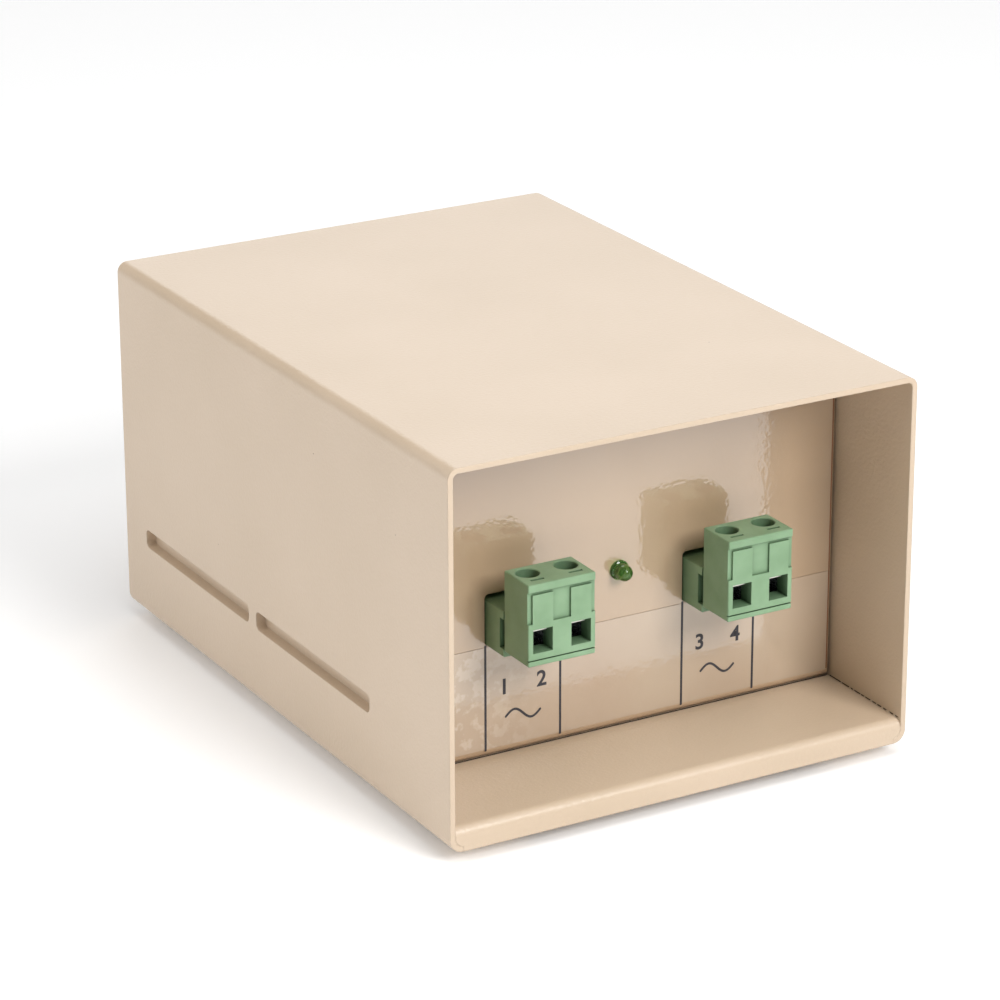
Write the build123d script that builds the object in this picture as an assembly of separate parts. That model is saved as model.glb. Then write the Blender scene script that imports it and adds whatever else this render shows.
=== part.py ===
"""Metal-cased power supply with two pluggable terminal blocks in a recessed front panel.

Millimetres. The origin is at the middle of the footprint, under the rubber feet. X runs to the
right as seen from the front, Y runs from the front to the back, and Z runs up.
"""

from build123d import *
import os

# Case, folded from one thickness of sheet
CASE_WIDTH = 94.0
CASE_DEPTH = 130.0
CASE_HEIGHT = 70.0
SHEET = 1.0
TOP_BEND = 2.0
BOTTOM_BEND = 2.5
FLANGE_WIDTH = 16.0
COATED_JOINT = 0.08

# Grooves pressed into both side walls, two in line on each
GROOVE_HEIGHT = 3.6
GROOVE_LENGTH = 44.5
GROOVE_SPACE = 3.0
GROOVE_CENTRE_HEIGHT = 16.8
GROOVE_DEPTH = 1.9
GROOVE_TAPER = 6.0
GROOVE_CORNER = 1.1

# Base pan
FLOOR_HEIGHT = 4.5
LIP_BEND = 1.75

# Inner chassis with the recessed front panel
RECESS = 23.0
REAR_RECESS = 3.0
CHASSIS_SIDE_GAP = 0.5
CHASSIS_BEND = 1.5
CHASSIS_TOP_GAP = 0.8
CHASSIS_TOP_FLANGE = 8.0
CHASSIS_SIDE_FLANGE = 9.0
CHASSIS_CORNER_RELIEF = 3.0

# Clear films on the front panel
FILM = 0.15
FILM_SEAM_HEIGHT = 25.7
FILM_SEAM_GAP = 0.1
FILM_BOTTOM_HEIGHT = 6.1
FILM_SIDE_MARGIN = 0.3
FILM_TOP_MARGIN = 2.0

# Feet and the screws that hold the chassis, pan and cover together
FOOT_HEIGHT = 2.5
FOOT_DIAMETER = 10.0
FOOT_INSET_SIDE = 11.0
FOOT_INSET_FRONT = 13.0
CASE_SCREW_SHANK = 2.9
CASE_SCREW_HEAD = 5.6
CASE_SCREW_HEAD_HEIGHT = 1.7
CASE_SCREW_INSET_SIDE = 9.0
CASE_SCREW_INSET_FRONT = 13.0
CASE_SCREW_INSET_REAR = 27.0
CLINCH_NUT_DIAMETER = 6.0
CLINCH_NUT_SHANK = 4.2
DIMPLE_WALL_GAP = 0.5
HOLE_CLEARANCE = 0.3
THREAD_CLEARANCE = 0.05

# Pluggable terminals: two poles each, spaced evenly about the middle of the case
PITCH = 7.62
PLUG_SPACING = 40.64
PLUG_SIDE_WALL = 0.59
PLUG_HEIGHT = 15.2
PLUG_DEPTH = 8.4
PLUG_FRONT = 8.0
PLUG_BOTTOM_HEIGHT = 27.3
PLUG_EDGE = 0.15
PLUG_LIP = 1.4
PLUG_FIELD_DEPTH = 0.4
PLUG_LEDGE_DROP = 7.3
PAD_WIDTH = 4.1
PAD_DROP = 1.95
BAND_HEIGHT = 1.1
BAND_GROOVE = 0.25

# Wire port, cage clamp and screw of one pole
PORT_WIDTH = 3.9
PORT_HEIGHT = 4.4
PORT_RISE = 2.4
CAGE_WIDTH = 4.4
CAGE_DEPTH = 4.0
CAGE_SIDE = 0.6
CAGE_BOTTOM = 0.7
CAGE_YOKE = 1.2
CAGE_TRAVEL = 3.4
CAGE_GAP = 0.1
CLAMP_SETBACK = 5.4
CLAMP_SCREW = 2.9
CLAMP_HEAD = 3.8
CLAMP_HEAD_HEIGHT = 1.3
CLAMP_SLOT = 0.6
SCREW_HOLE = 4.2
SCREW_SEAT = 0.5
PROBE_SLOT_LENGTH = 2.7
PROBE_SLOT_WIDTH = 0.6
PROBE_SLOT_DEPTH = 3.0
PROBE_SLOT_SETBACK = 2.0

# Contact strip, pins and the shrouded header
STRIP = 0.5
STRIP_WIDTH = 2.4
FINGER = 0.4
FINGER_END_GAP = 1.45
FINGER_FLARE = 0.3
PIN = 1.0
PIN_END_GAP = 4.0
PIN_TAIL = 2.0
PIN_SLIDE = 0.05
HEADER_WALL = 0.9
HEADER_HEIGHT = 8.6
HEADER_DROP = 1.2
HEADER_FRONT_GAP = 0.3
HEADER_BASE = 2.0
HEADER_NOTCH = 1.3
HEADER_NOTCH_MARGIN = 1.5
NOSE_CLEARANCE = 0.15
NOSE_END_GAP = 0.4
CUTOUT_SIDE_GAP = 0.3
CUTOUT_TOP_GAP = 1.0
CUTOUT_BOTTOM_GAP = 0.2
CUTOUT_CORNER = 0.8

# Indicator
LED_HEIGHT = 35.0
LED_BODY = 3.0
LED_COLLAR = 3.7
LED_COLLAR_HEIGHT = 0.7
LED_REACH = 3.5
LED_TAIL = 2.2
LED_LEAD = 0.5
LED_LEAD_PITCH = 2.54

# Circuit board behind the panel
BOARD_GAP = 6.0
BOARD_THICKNESS = 1.6
BOARD_SIDE_MARGIN = 4.5
BOARD_HEIGHT = 46.0
BOARD_BOTTOM_HEIGHT = 12.0
BOARD_HOLE_INSET = 4.0
STANDOFF_ACROSS = 5.5
BOARD_SCREW_LENGTH = 6.0
BOARD_SCREW_HEAD_HEIGHT = 1.8
SOLDER_HOLE_GAP = 0.1

# Components on the rear of the board
FUSE_DIAMETER = 5.0
FUSE_LENGTH = 20.0
FUSE_CAP_LENGTH = 5.0
FUSE_CAP_WALL = 0.15
FUSE_CLIP_SHEET = 0.4
FUSE_CLIP_WIDTH = 4.0
FUSE_STANDOFF = 1.0
FUSE_HEIGHT = 50.0
FUSE_OFFSET = 14.0
DISC_DIAMETER = 9.0
DISC_THICKNESS = 4.0
DISC_CORNER = 1.2
DISC_STANDOFF = 2.0
DISC_HEIGHT = 41.0
VARISTOR_OFFSET = 32.0
PTC_OFFSET = -28.0
AXIAL_LEAD = 0.7
AXIAL_SPAN = 12.0
AXIAL_STANDOFF = 2.5
RESISTOR_DIAMETER = 2.5
RESISTOR_LENGTH = 6.5
DIODE_DIAMETER = 2.7
DIODE_LENGTH = 5.2
RESISTOR_HEIGHT = 44.0
DIODE_HEIGHT = 50.0
AXIAL_OFFSET = -8.0

# Transformer
LEG = 11.0
STACK = 30.0
WINDOW_HEIGHT = 33.0
TRANSFORMER_DEPTH = 78.0
BOBBIN_WALL = 1.0
BOBBIN_CLEARANCE = 0.2
WINDING_MARGIN = 1.2
WINDING_CORNER = 5.0
TAPE = 0.3
FRAME_SHEET = 1.2
FRAME_WIDTH = 24.0
FRAME_EDGE_GAP = 0.5
FRAME_BEND = 1.6
STUD_DIAMETER = 2.9
STUD_LENGTH = 8.0
STUD_HEAD = 4.4
NUT_ACROSS = 5.5
NUT_HEIGHT = 2.4

# Insulated leads between the windings and the board
LEAD_DIAMETER = 1.6
LEAD_SPREAD = 16.0
LEAD_PITCH = 6.0
LEAD_BOARD_HEIGHT_LOW = 20.0
LEAD_BOARD_HEIGHT_HIGH = 37.0
LEAD_SAG = 4.0


def depth(value):
    """Y of a distance measured back from the front of the case."""
    return value - CASE_DEPTH / 2


def height(value):
    """Z of a distance measured up from the bottom of the case."""
    return value + FOOT_HEIGHT


def span(x, y, z):
    """Block between three pairs of limits."""
    size = Box(x[1] - x[0], y[1] - y[0], z[1] - z[0], align=(Align.MIN, Align.MIN, Align.MIN))
    return Pos(x[0], y[0], z[0]) * size


def folded(points, radii, sheet):
    """Section of a folded sheet: its middle line, the radius of each fold there, its thickness."""
    return trace(FilletPolyline(*points, radius=radii), sheet)


def along_y(sketch, start, end):
    """Section drawn with X across and Z up, run from one Y to another."""
    return extrude(Plane((0, end, 0), x_dir=(1, 0, 0), z_dir=(0, -1, 0)) * sketch, end - start)


def along_x(sketch, start, end):
    """Section drawn with Y across and Z up, run from one X to another."""
    return extrude(Plane((start, 0, 0), x_dir=(0, 1, 0), z_dir=(1, 0, 0)) * sketch, end - start)


def rod_y(x, z, diameter, start, end):
    """Round bar along Y."""
    return along_y(Pos(x, z) * Circle(diameter / 2), start, end)


def rod_z(x, y, diameter, start, end):
    """Round bar along Z."""
    return Pos(x, y, start) * Cylinder(
        diameter / 2, end - start, align=(Align.CENTER, Align.CENTER, Align.MIN)
    )


def mirrored(shape):
    """The shape and its reflection across the middle of the case."""
    return shape + mirror(shape, Plane.YZ)


# Derived places
HALF_WIDTH = CASE_WIDTH / 2
INNER_HALF_WIDTH = HALF_WIDTH - SHEET
FRONT_Y = depth(0)
REAR_Y = depth(CASE_DEPTH)
CASE_BOTTOM_Z = height(0)
CASE_TOP_Z = height(CASE_HEIGHT)
FLOOR_Z = height(FLOOR_HEIGHT)
CHASSIS_HALF_WIDTH = INNER_HALF_WIDTH - CHASSIS_SIDE_GAP
PANEL_Y = depth(RECESS)
PANEL_BACK_Y = PANEL_Y + SHEET
CHASSIS_REAR_Y = REAR_Y - REAR_RECESS
CHASSIS_TOP_Z = CASE_TOP_Z - SHEET - CHASSIS_TOP_GAP
CHASSIS_FLOOR_Z = FLOOR_Z + SHEET
BOARD_WIDTH = 2 * (CHASSIS_HALF_WIDTH - BOARD_SIDE_MARGIN)
BOARD_Y = PANEL_BACK_Y + BOARD_GAP
BOARD_BACK_Y = BOARD_Y + BOARD_THICKNESS
PLUG_WIDTH = PITCH + CAGE_WIDTH + 2 * (CAGE_GAP + PLUG_SIDE_WALL)
PLUG_FRONT_Y = depth(PLUG_FRONT)
PLUG_REAR_Y = PLUG_FRONT_Y + PLUG_DEPTH
PLUG_BOTTOM_Z = height(PLUG_BOTTOM_HEIGHT)
PLUG_TOP_Z = PLUG_BOTTOM_Z + PLUG_HEIGHT
PORT_BOTTOM_Z = PLUG_BOTTOM_Z + PORT_RISE
PORT_TOP_Z = PORT_BOTTOM_Z + PORT_HEIGHT
HEADER_FRONT_Y = PLUG_REAR_Y + HEADER_FRONT_GAP
HEADER_BOTTOM_Z = PLUG_BOTTOM_Z - HEADER_DROP
HEADER_TOP_Z = HEADER_BOTTOM_Z + HEADER_HEIGHT
PIN_Z = (HEADER_BOTTOM_Z + HEADER_TOP_Z) / 2
HEADER_FLOOR_Y = BOARD_Y - HEADER_BASE
NOSE_END_Y = HEADER_FLOOR_Y - NOSE_END_GAP
CLAMP_Y = PLUG_FRONT_Y + CLAMP_SETBACK
YOKE_BOTTOM_Z = PORT_TOP_Z + CAGE_GAP
CAGE_FLOOR_Z = PORT_BOTTOM_Z - CAGE_GAP
CAVITY_TOP_Z = YOKE_BOTTOM_Z + CAGE_YOKE + CAGE_TRAVEL + CAGE_GAP
LEG_Y = CLAMP_Y + CAGE_DEPTH / 2 + CAGE_GAP
NOSE_WALL_Y = NOSE_END_Y - HEADER_WALL
FINGER_END_Y = NOSE_WALL_Y - FINGER_END_GAP
PIN_FRONT_Y = LEG_Y + STRIP + PIN_END_GAP
PLUG_CENTRES = {"output": -PLUG_SPACING / 2, "input": PLUG_SPACING / 2}
POLES = {"left": -PITCH / 2, "right": PITCH / 2}
CASE_SCREW_X = HALF_WIDTH - CASE_SCREW_INSET_SIDE
CASE_SCREW_YS = (PANEL_BACK_Y + CASE_SCREW_INSET_FRONT, CHASSIS_REAR_Y - CASE_SCREW_INSET_REAR)
CASE_SCREW_PLACES = [(x, y) for x in (-CASE_SCREW_X, CASE_SCREW_X) for y in CASE_SCREW_YS]
TRANSFORMER_Y = depth(TRANSFORMER_DEPTH)
CORE_HALF_WIDTH = 3 * LEG
CORE_TOP_Z = CHASSIS_FLOOR_Z + 2 * LEG + WINDOW_HEIGHT
FRAME_FOOT_X = CHASSIS_HALF_WIDTH - SHEET - FRAME_EDGE_GAP
STUD_X = (CORE_HALF_WIDTH + FRAME_SHEET + FRAME_BEND / 2 + FRAME_FOOT_X) / 2
WINDOW_BOTTOM_Z = CHASSIS_FLOOR_Z + LEG
WINDOW_TOP_Z = WINDOW_BOTTOM_Z + WINDOW_HEIGHT


def groove_outline(grow):
    """Outline of one groove, grown on every side."""
    sizes = (GROOVE_LENGTH + 2 * grow, GROOVE_HEIGHT + 2 * grow)
    return RectangleRounded(*sizes, GROOVE_CORNER + grow)


def pressed_groove(y):
    """One groove on the right wall: the pocket outside and the metal that it pushes in."""
    wall = Plane((HALF_WIDTH, y, height(GROOVE_CENTRE_HEIGHT)), x_dir=(0, 1, 0), z_dir=(1, 0, 0))
    pocket = extrude(wall * groove_outline(0), -GROOVE_DEPTH, taper=GROOVE_TAPER)
    inside = Plane((INNER_HALF_WIDTH, y, height(GROOVE_CENTRE_HEIGHT)), x_dir=(0, 1, 0), z_dir=(1, 0, 0))
    bump = extrude(inside * groove_outline(0.7 * SHEET), -GROOVE_DEPTH)
    return pocket, bump


def make_cover():
    """Top, sides and turned-in bottom flanges, folded from one sheet."""
    middle_x = HALF_WIDTH - SHEET / 2
    flange_x = HALF_WIDTH - FLANGE_WIDTH
    low, high = CASE_BOTTOM_Z + SHEET / 2, CASE_TOP_Z - SHEET / 2
    points = [(-flange_x, low), (-middle_x, low), (-middle_x, high), (middle_x, high), (middle_x, low)]
    points.append((flange_x, low))
    bottom, top = BOTTOM_BEND - SHEET / 2, TOP_BEND - SHEET / 2
    cover = along_y(folded(points, [bottom, top, top, bottom], SHEET), FRONT_Y, REAR_Y)

    # The flanges stop short of the lips of the pan
    flat_x = HALF_WIDTH - BOTTOM_BEND
    lip_room = SHEET + COATED_JOINT
    for y in ((FRONT_Y, FRONT_Y + lip_room), (REAR_Y - lip_room, REAR_Y)):
        cover -= span((-flat_x, flat_x), y, (CASE_BOTTOM_Z - SHEET, CASE_BOTTOM_Z + 2 * SHEET))

    groove_middle = (PANEL_Y + CHASSIS_REAR_Y) / 2
    groove_step = (GROOVE_LENGTH + GROOVE_SPACE) / 2
    for y in (groove_middle - groove_step, groove_middle + groove_step):
        pocket, bump = pressed_groove(y)
        cover = cover + mirrored(bump) - mirrored(pocket)

    for x, y in CASE_SCREW_PLACES:
        hole = CASE_SCREW_SHANK + HOLE_CLEARANCE
        cover -= rod_z(x, y, hole, CASE_BOTTOM_Z - SHEET, CASE_BOTTOM_Z + 2 * SHEET)
    return cover


def dimple(x, y):
    """Screw seat pressed down from the floor of the pan to the flange under it."""
    inner = CLINCH_NUT_DIAMETER / 2 + DIMPLE_WALL_GAP
    drop = FLOOR_HEIGHT - 2 * SHEET
    seat_z = CASE_BOTTOM_Z + SHEET
    cone = (Align.CENTER, Align.CENTER, Align.MIN)
    outside = Pos(x, y, seat_z) * Cylinder(inner + SHEET, drop, align=cone)
    inside = Pos(x, y, seat_z + SHEET) * Cylinder(inner, drop, align=cone)
    return outside, inside


def make_pan():
    """Raised floor, its front and rear edges turned down level with the cover's edges."""
    middle_z = FLOOR_Z - SHEET / 2
    front, rear = FRONT_Y + SHEET / 2, REAR_Y - SHEET / 2
    points = [(front, CASE_BOTTOM_Z), (front, middle_z), (rear, middle_z), (rear, CASE_BOTTOM_Z)]
    half = INNER_HALF_WIDTH - COATED_JOINT
    bend = LIP_BEND - SHEET / 2
    pan = along_x(folded(points, [bend, bend], SHEET), -half, half)

    # Lips narrow to pass between the turned-in flanges and nest in their bends
    flat_x = HALF_WIDTH - BOTTOM_BEND - COATED_JOINT
    above_z = CASE_BOTTOM_Z + SHEET + COATED_JOINT
    outline = Pos(0, (above_z + CASE_TOP_Z) / 2) * Rectangle(2 * half, CASE_TOP_Z - above_z)
    outline = fillet(outline.vertices().sort_by(Axis.Y)[:2], BOTTOM_BEND - SHEET)
    outline += Pos(0, CASE_BOTTOM_Z + SHEET) * Rectangle(2 * flat_x, 2 * SHEET)
    pan &= along_y(outline, FRONT_Y, REAR_Y)

    for x, y in CASE_SCREW_PLACES:
        outside, inside = dimple(x, y)
        pan = pan + outside - inside
        pan -= rod_z(x, y, CASE_SCREW_SHANK + HOLE_CLEARANCE, CASE_BOTTOM_Z, FLOOR_Z)
    return pan


def header_cutout(centre):
    """Opening round one header, as an outline with X across and Z up."""
    half = PLUG_WIDTH / 2 + CUTOUT_SIDE_GAP
    low = HEADER_BOTTOM_Z - CUTOUT_BOTTOM_GAP
    high = HEADER_TOP_Z + CUTOUT_TOP_GAP
    return Pos(centre, (low + high) / 2) * RectangleRounded(2 * half, high - low, CUTOUT_CORNER)


def panel_openings(extra):
    """Cutouts for the two headers and the indicator, run through the panel and what is on it."""
    outline = Sketch() + [header_cutout(centre) for centre in PLUG_CENTRES.values()]
    outline += Pos(0, height(LED_HEIGHT)) * Circle(LED_BODY / 2 + THREAD_CLEARANCE)
    return along_y(outline, PANEL_Y - extra, PANEL_BACK_Y + extra)


def make_chassis():
    """Front panel, base and rear panel in one piece, with top flanges and low side flanges."""
    front, rear = PANEL_Y + SHEET / 2, CHASSIS_REAR_Y - SHEET / 2
    low, high = FLOOR_Z + SHEET / 2, CHASSIS_TOP_Z - SHEET / 2
    reach = CHASSIS_TOP_FLANGE - SHEET / 2
    points = [(front + reach, high), (front, high), (front, low), (rear, low), (rear, high)]
    points.append((rear - reach, high))
    bend = CHASSIS_BEND - SHEET / 2
    chassis = along_x(folded(points, [bend] * 4, SHEET), -CHASSIS_HALF_WIDTH, CHASSIS_HALF_WIDTH)

    # Corners relieved, then the side flanges turned up between them
    strip = (CHASSIS_HALF_WIDTH - CHASSIS_BEND, CHASSIS_HALF_WIDTH + SHEET)
    relief = (PANEL_Y + CHASSIS_CORNER_RELIEF, CHASSIS_REAR_Y - CHASSIS_CORNER_RELIEF)
    chassis -= mirrored(span(strip, relief, (FLOOR_Z - SHEET, CHASSIS_FLOOR_Z + SHEET)))
    middle_x = CHASSIS_HALF_WIDTH - SHEET / 2
    edge = FLOOR_Z + CHASSIS_SIDE_FLANGE
    points = [(-middle_x, edge), (-middle_x, low), (middle_x, low), (middle_x, edge)]
    section = folded(points, [bend] * 2, SHEET)
    chassis += along_y(section, relief[0] + SHEET, relief[1] - SHEET)

    chassis -= panel_openings(SHEET)
    for x, y in CASE_SCREW_PLACES:
        chassis -= rod_z(x, y, CLINCH_NUT_SHANK, FLOOR_Z - SHEET, CHASSIS_FLOOR_Z + SHEET)
    for x in (-STUD_X, STUD_X):
        chassis -= rod_z(x, TRANSFORMER_Y, STUD_HEAD, FLOOR_Z - SHEET, CHASSIS_FLOOR_Z + SHEET)
    return chassis


def make_film(low, high):
    """One clear film on the front panel, between two heights."""
    half = CHASSIS_HALF_WIDTH - FILM_SIDE_MARGIN
    film = span((-half, half), (PANEL_Y - FILM, PANEL_Y), (low, high))
    return film - panel_openings(SHEET)


def make_feet():
    """Four round rubber feet, bevelled at the rim."""
    x = HALF_WIDTH - FOOT_INSET_SIDE
    y = CASE_DEPTH / 2 - FOOT_INSET_FRONT
    feet = Part()
    for place in ((-x, -y), (x, -y), (-x, y), (x, y)):
        foot = rod_z(0, 0, FOOT_DIAMETER, 0, FOOT_HEIGHT)
        foot = chamfer(foot.edges().filter_by(GeomType.CIRCLE).sort_by(Axis.Z)[0], FOOT_HEIGHT / 4)
        feet += Pos(*place) * foot
    return feet


def make_case_screws():
    """Pan-head screws from below, through the flange and the pan into the clinch nuts."""
    screws = Part()
    for x, y in CASE_SCREW_PLACES:
        head = rod_z(x, y, CASE_SCREW_HEAD, CASE_BOTTOM_Z - CASE_SCREW_HEAD_HEIGHT, CASE_BOTTOM_Z)
        rim = head.edges().filter_by(GeomType.CIRCLE).sort_by(Axis.Z)[0]
        head = chamfer(rim, CASE_SCREW_HEAD_HEIGHT / 3)
        recess = span(
            (x - CASE_SCREW_HEAD / 3, x + CASE_SCREW_HEAD / 3),
            (y - CLAMP_SLOT / 2, y + CLAMP_SLOT / 2),
            (CASE_BOTTOM_Z - CASE_SCREW_HEAD_HEIGHT, CASE_BOTTOM_Z - CASE_SCREW_HEAD_HEIGHT / 2),
        )
        crossed = recess + Pos(x, y) * Rot(0, 0, 90) * Pos(-x, -y) * recess
        screws += head - crossed + rod_z(x, y, CASE_SCREW_SHANK, CASE_BOTTOM_Z, CHASSIS_FLOOR_Z + SHEET)
    return screws


def make_case_nuts():
    """Clinch nuts pressed into the chassis base, standing down into the dimples of the pan."""
    nuts = Part()
    for x, y in CASE_SCREW_PLACES:
        nut = rod_z(x, y, CLINCH_NUT_DIAMETER, CASE_BOTTOM_Z + 2 * SHEET, FLOOR_Z)
        nut += rod_z(x, y, CLINCH_NUT_SHANK, FLOOR_Z, CHASSIS_FLOOR_Z)
        bore = CASE_SCREW_SHANK + 2 * THREAD_CLEARANCE
        nuts += nut - rod_z(x, y, bore, CASE_BOTTOM_Z, CHASSIS_FLOOR_Z)
    return nuts


def make_header(centre):
    """Shrouded header: open box, notched at the sides, with a floor that holds the pins."""
    half = PLUG_WIDTH / 2
    z = (HEADER_BOTTOM_Z, HEADER_TOP_Z)
    header = span((centre - half, centre + half), (HEADER_FRONT_Y, BOARD_Y), z)
    header = chamfer(header.edges().filter_by(Axis.Y), PLUG_EDGE)
    inner = half - HEADER_WALL
    header -= span(
        (centre - inner, centre + inner),
        (HEADER_FRONT_Y - SHEET, HEADER_FLOOR_Y),
        (HEADER_BOTTOM_Z + HEADER_WALL, HEADER_TOP_Z - HEADER_WALL),
    )
    header -= span(
        (centre - half - SHEET, centre + half + SHEET),
        (HEADER_FRONT_Y - SHEET, HEADER_FRONT_Y + HEADER_NOTCH),
        (HEADER_BOTTOM_Z + HEADER_NOTCH_MARGIN, HEADER_TOP_Z - HEADER_NOTCH_MARGIN),
    )
    for offset in POLES.values():
        header -= pin_bar(centre + offset)
    return header


def pin_bar(x):
    """One square header pin, from inside the plug to the rear of the board."""
    half = PIN / 2
    ends = (PIN_FRONT_Y, BOARD_BACK_Y + PIN_TAIL)
    return span((x - half, x + half), ends, (PIN_Z - half, PIN_Z + half))


def make_pins(centre):
    """Both pins of a header, their front ends chamfered to guide the contacts."""
    pins = Part()
    for offset in POLES.values():
        pin = pin_bar(centre + offset)
        pins += chamfer(pin.faces().sort_by(Axis.Y)[0].edges(), PIN / 5)
    return pins


def make_plug_housing(centre):
    """Moulded plug: block with two wire ports and screw holes, and the nose that fits the header."""
    half = PLUG_WIDTH / 2
    wide = (centre - half - SHEET, centre + half + SHEET)
    body = span((centre - half, centre + half), (PLUG_FRONT_Y, PLUG_REAR_Y), (PLUG_BOTTOM_Z, PLUG_TOP_Z))
    body = chamfer(body.edges(), PLUG_EDGE)
    nose_half = half - HEADER_WALL - NOSE_CLEARANCE
    nose_z = (HEADER_BOTTOM_Z + HEADER_WALL + NOSE_CLEARANCE, HEADER_TOP_Z - HEADER_WALL - NOSE_CLEARANCE)
    nose_z = (max(nose_z[0], PLUG_BOTTOM_Z), nose_z[1])
    nose = span((centre - nose_half, centre + nose_half), (PLUG_REAR_Y - SHEET, NOSE_END_Y), nose_z)
    body += chamfer(nose.faces().sort_by(Axis.Y)[-1].edges(), PLUG_EDGE)

    # Front face: a field set back between the lip and the ledge, with a pad over each port
    field = (PLUG_FRONT_Y - SHEET, PLUG_FRONT_Y + PLUG_FIELD_DEPTH)
    ledge = PLUG_TOP_Z - PLUG_LEDGE_DROP
    recess = span(wide, field, (ledge, PLUG_TOP_Z - PLUG_LIP))
    for offset in POLES.values():
        x = centre + offset
        recess -= span((x - PAD_WIDTH / 2, x + PAD_WIDTH / 2), field, (ledge, PLUG_TOP_Z - PAD_DROP))
    body -= recess
    groove = PLUG_BOTTOM_Z + BAND_HEIGHT
    body -= span(wide, field, (groove - BAND_GROOVE / 2, groove + BAND_GROOVE / 2))

    for offset in POLES.values():
        body -= pole_cavity(centre + offset)
    return body


def pole_cavity(x):
    """Everything hollow in one pole: port, cage room, screw hole, probe slot, contact room."""
    cage_half = CAGE_WIDTH / 2 + CAGE_GAP
    cage_y = (CLAMP_Y - CAGE_DEPTH / 2 - CAGE_GAP, LEG_Y)
    port_half = PORT_WIDTH / 2
    port_y = (PLUG_FRONT_Y - SHEET, CLAMP_Y)
    hollow = span((x - port_half, x + port_half), port_y, (PORT_BOTTOM_Z, PORT_TOP_Z))
    floor_z = CAGE_FLOOR_Z - CAGE_BOTTOM - CAGE_GAP
    hollow += span((x - cage_half, x + cage_half), cage_y, (floor_z, CAVITY_TOP_Z))
    hollow += rod_z(x, CLAMP_Y, CLAMP_SCREW + HOLE_CLEARANCE, CAVITY_TOP_Z, PLUG_TOP_Z)
    hollow += rod_z(x, CLAMP_Y, SCREW_HOLE, CAVITY_TOP_Z + SCREW_SEAT, PLUG_TOP_Z + SHEET)
    cone = (Align.CENTER, Align.CENTER, Align.MIN)
    rim = Cone(SCREW_HOLE / 2, SCREW_HOLE / 2 + 2 * PLUG_EDGE, 2 * PLUG_EDGE, align=cone)
    hollow += Pos(x, CLAMP_Y, PLUG_TOP_Z - PLUG_EDGE) * rim
    slot_y = PLUG_FRONT_Y + PROBE_SLOT_SETBACK
    hollow += span(
        (x - PROBE_SLOT_LENGTH / 2, x + PROBE_SLOT_LENGTH / 2),
        (slot_y - PROBE_SLOT_WIDTH / 2, slot_y + PROBE_SLOT_WIDTH / 2),
        (PLUG_TOP_Z - PROBE_SLOT_DEPTH, PLUG_TOP_Z + SHEET),
    )

    # Room for the contact: behind the cage, then back along the nose to the pin hole
    room_half = STRIP_WIDTH / 2 + CAGE_GAP
    finger_z = PIN / 2 + PIN_SLIDE + FINGER + CAGE_GAP + FINGER_FLARE
    room = (x - room_half, x + room_half)
    hollow += span(room, (CLAMP_Y, LEG_Y + STRIP), (PIN_Z - finger_z, PORT_TOP_Z))
    hollow += span(room, (LEG_Y, NOSE_WALL_Y), (PIN_Z - finger_z, PIN_Z + finger_z))
    pin_half = PIN / 2 + NOSE_CLEARANCE
    end_y = (NOSE_WALL_Y - SHEET, NOSE_END_Y + SHEET)
    hollow += span((x - pin_half, x + pin_half), end_y, (PIN_Z - pin_half, PIN_Z + pin_half))
    return hollow


def finger_points(side):
    """Middle line of one contact finger, from the leg to its flared tip, above or below the pin."""
    z = PIN_Z + side * (PIN / 2 + PIN_SLIDE + FINGER / 2)
    start = LEG_Y + STRIP / 2
    bend = FINGER_END_Y - 2 * FINGER
    return [(start, z), (bend, z), (FINGER_END_Y, z + side * FINGER_FLARE)]


def make_contacts(centre):
    """Contact of each pole: a bar over the wire, a leg behind the cage and two fingers for the pin."""
    contacts = Part()
    bar_z = PORT_TOP_Z - STRIP / 2
    leg_y = LEG_Y + STRIP / 2
    foot_z = PIN_Z - PIN / 2 - PIN_SLIDE - FINGER
    bar_start = CLAMP_Y - CAGE_DEPTH
    for offset in POLES.values():
        x = centre + offset
        section = folded([(bar_start, bar_z), (leg_y, bar_z), (leg_y, foot_z)], [STRIP], STRIP)
        for side in (-1, 1):
            section += folded(finger_points(side), [2 * FINGER], FINGER)
        contacts += along_x(section, x - STRIP_WIDTH / 2, x + STRIP_WIDTH / 2)
    return contacts


def make_cage(x):
    """Rising cage clamp: a folded frame round the bar, with a threaded yoke on top."""
    half = CAGE_WIDTH / 2
    y = (CLAMP_Y - CAGE_DEPTH / 2, CLAMP_Y + CAGE_DEPTH / 2)
    cage = span((x - half, x + half), y, (CAGE_FLOOR_Z - CAGE_BOTTOM, YOKE_BOTTOM_Z + CAGE_YOKE))
    cage = fillet(cage.edges().filter_by(Axis.Y), CAGE_SIDE * 0.9)
    inner = half - CAGE_SIDE
    cage -= span((x - inner, x + inner), (y[0] - SHEET, y[1] + SHEET), (CAGE_FLOOR_Z, YOKE_BOTTOM_Z))
    bore = CLAMP_SCREW + 2 * THREAD_CLEARANCE
    return cage - rod_z(x, CLAMP_Y, bore, YOKE_BOTTOM_Z, YOKE_BOTTOM_Z + 2 * CAGE_YOKE)


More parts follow.
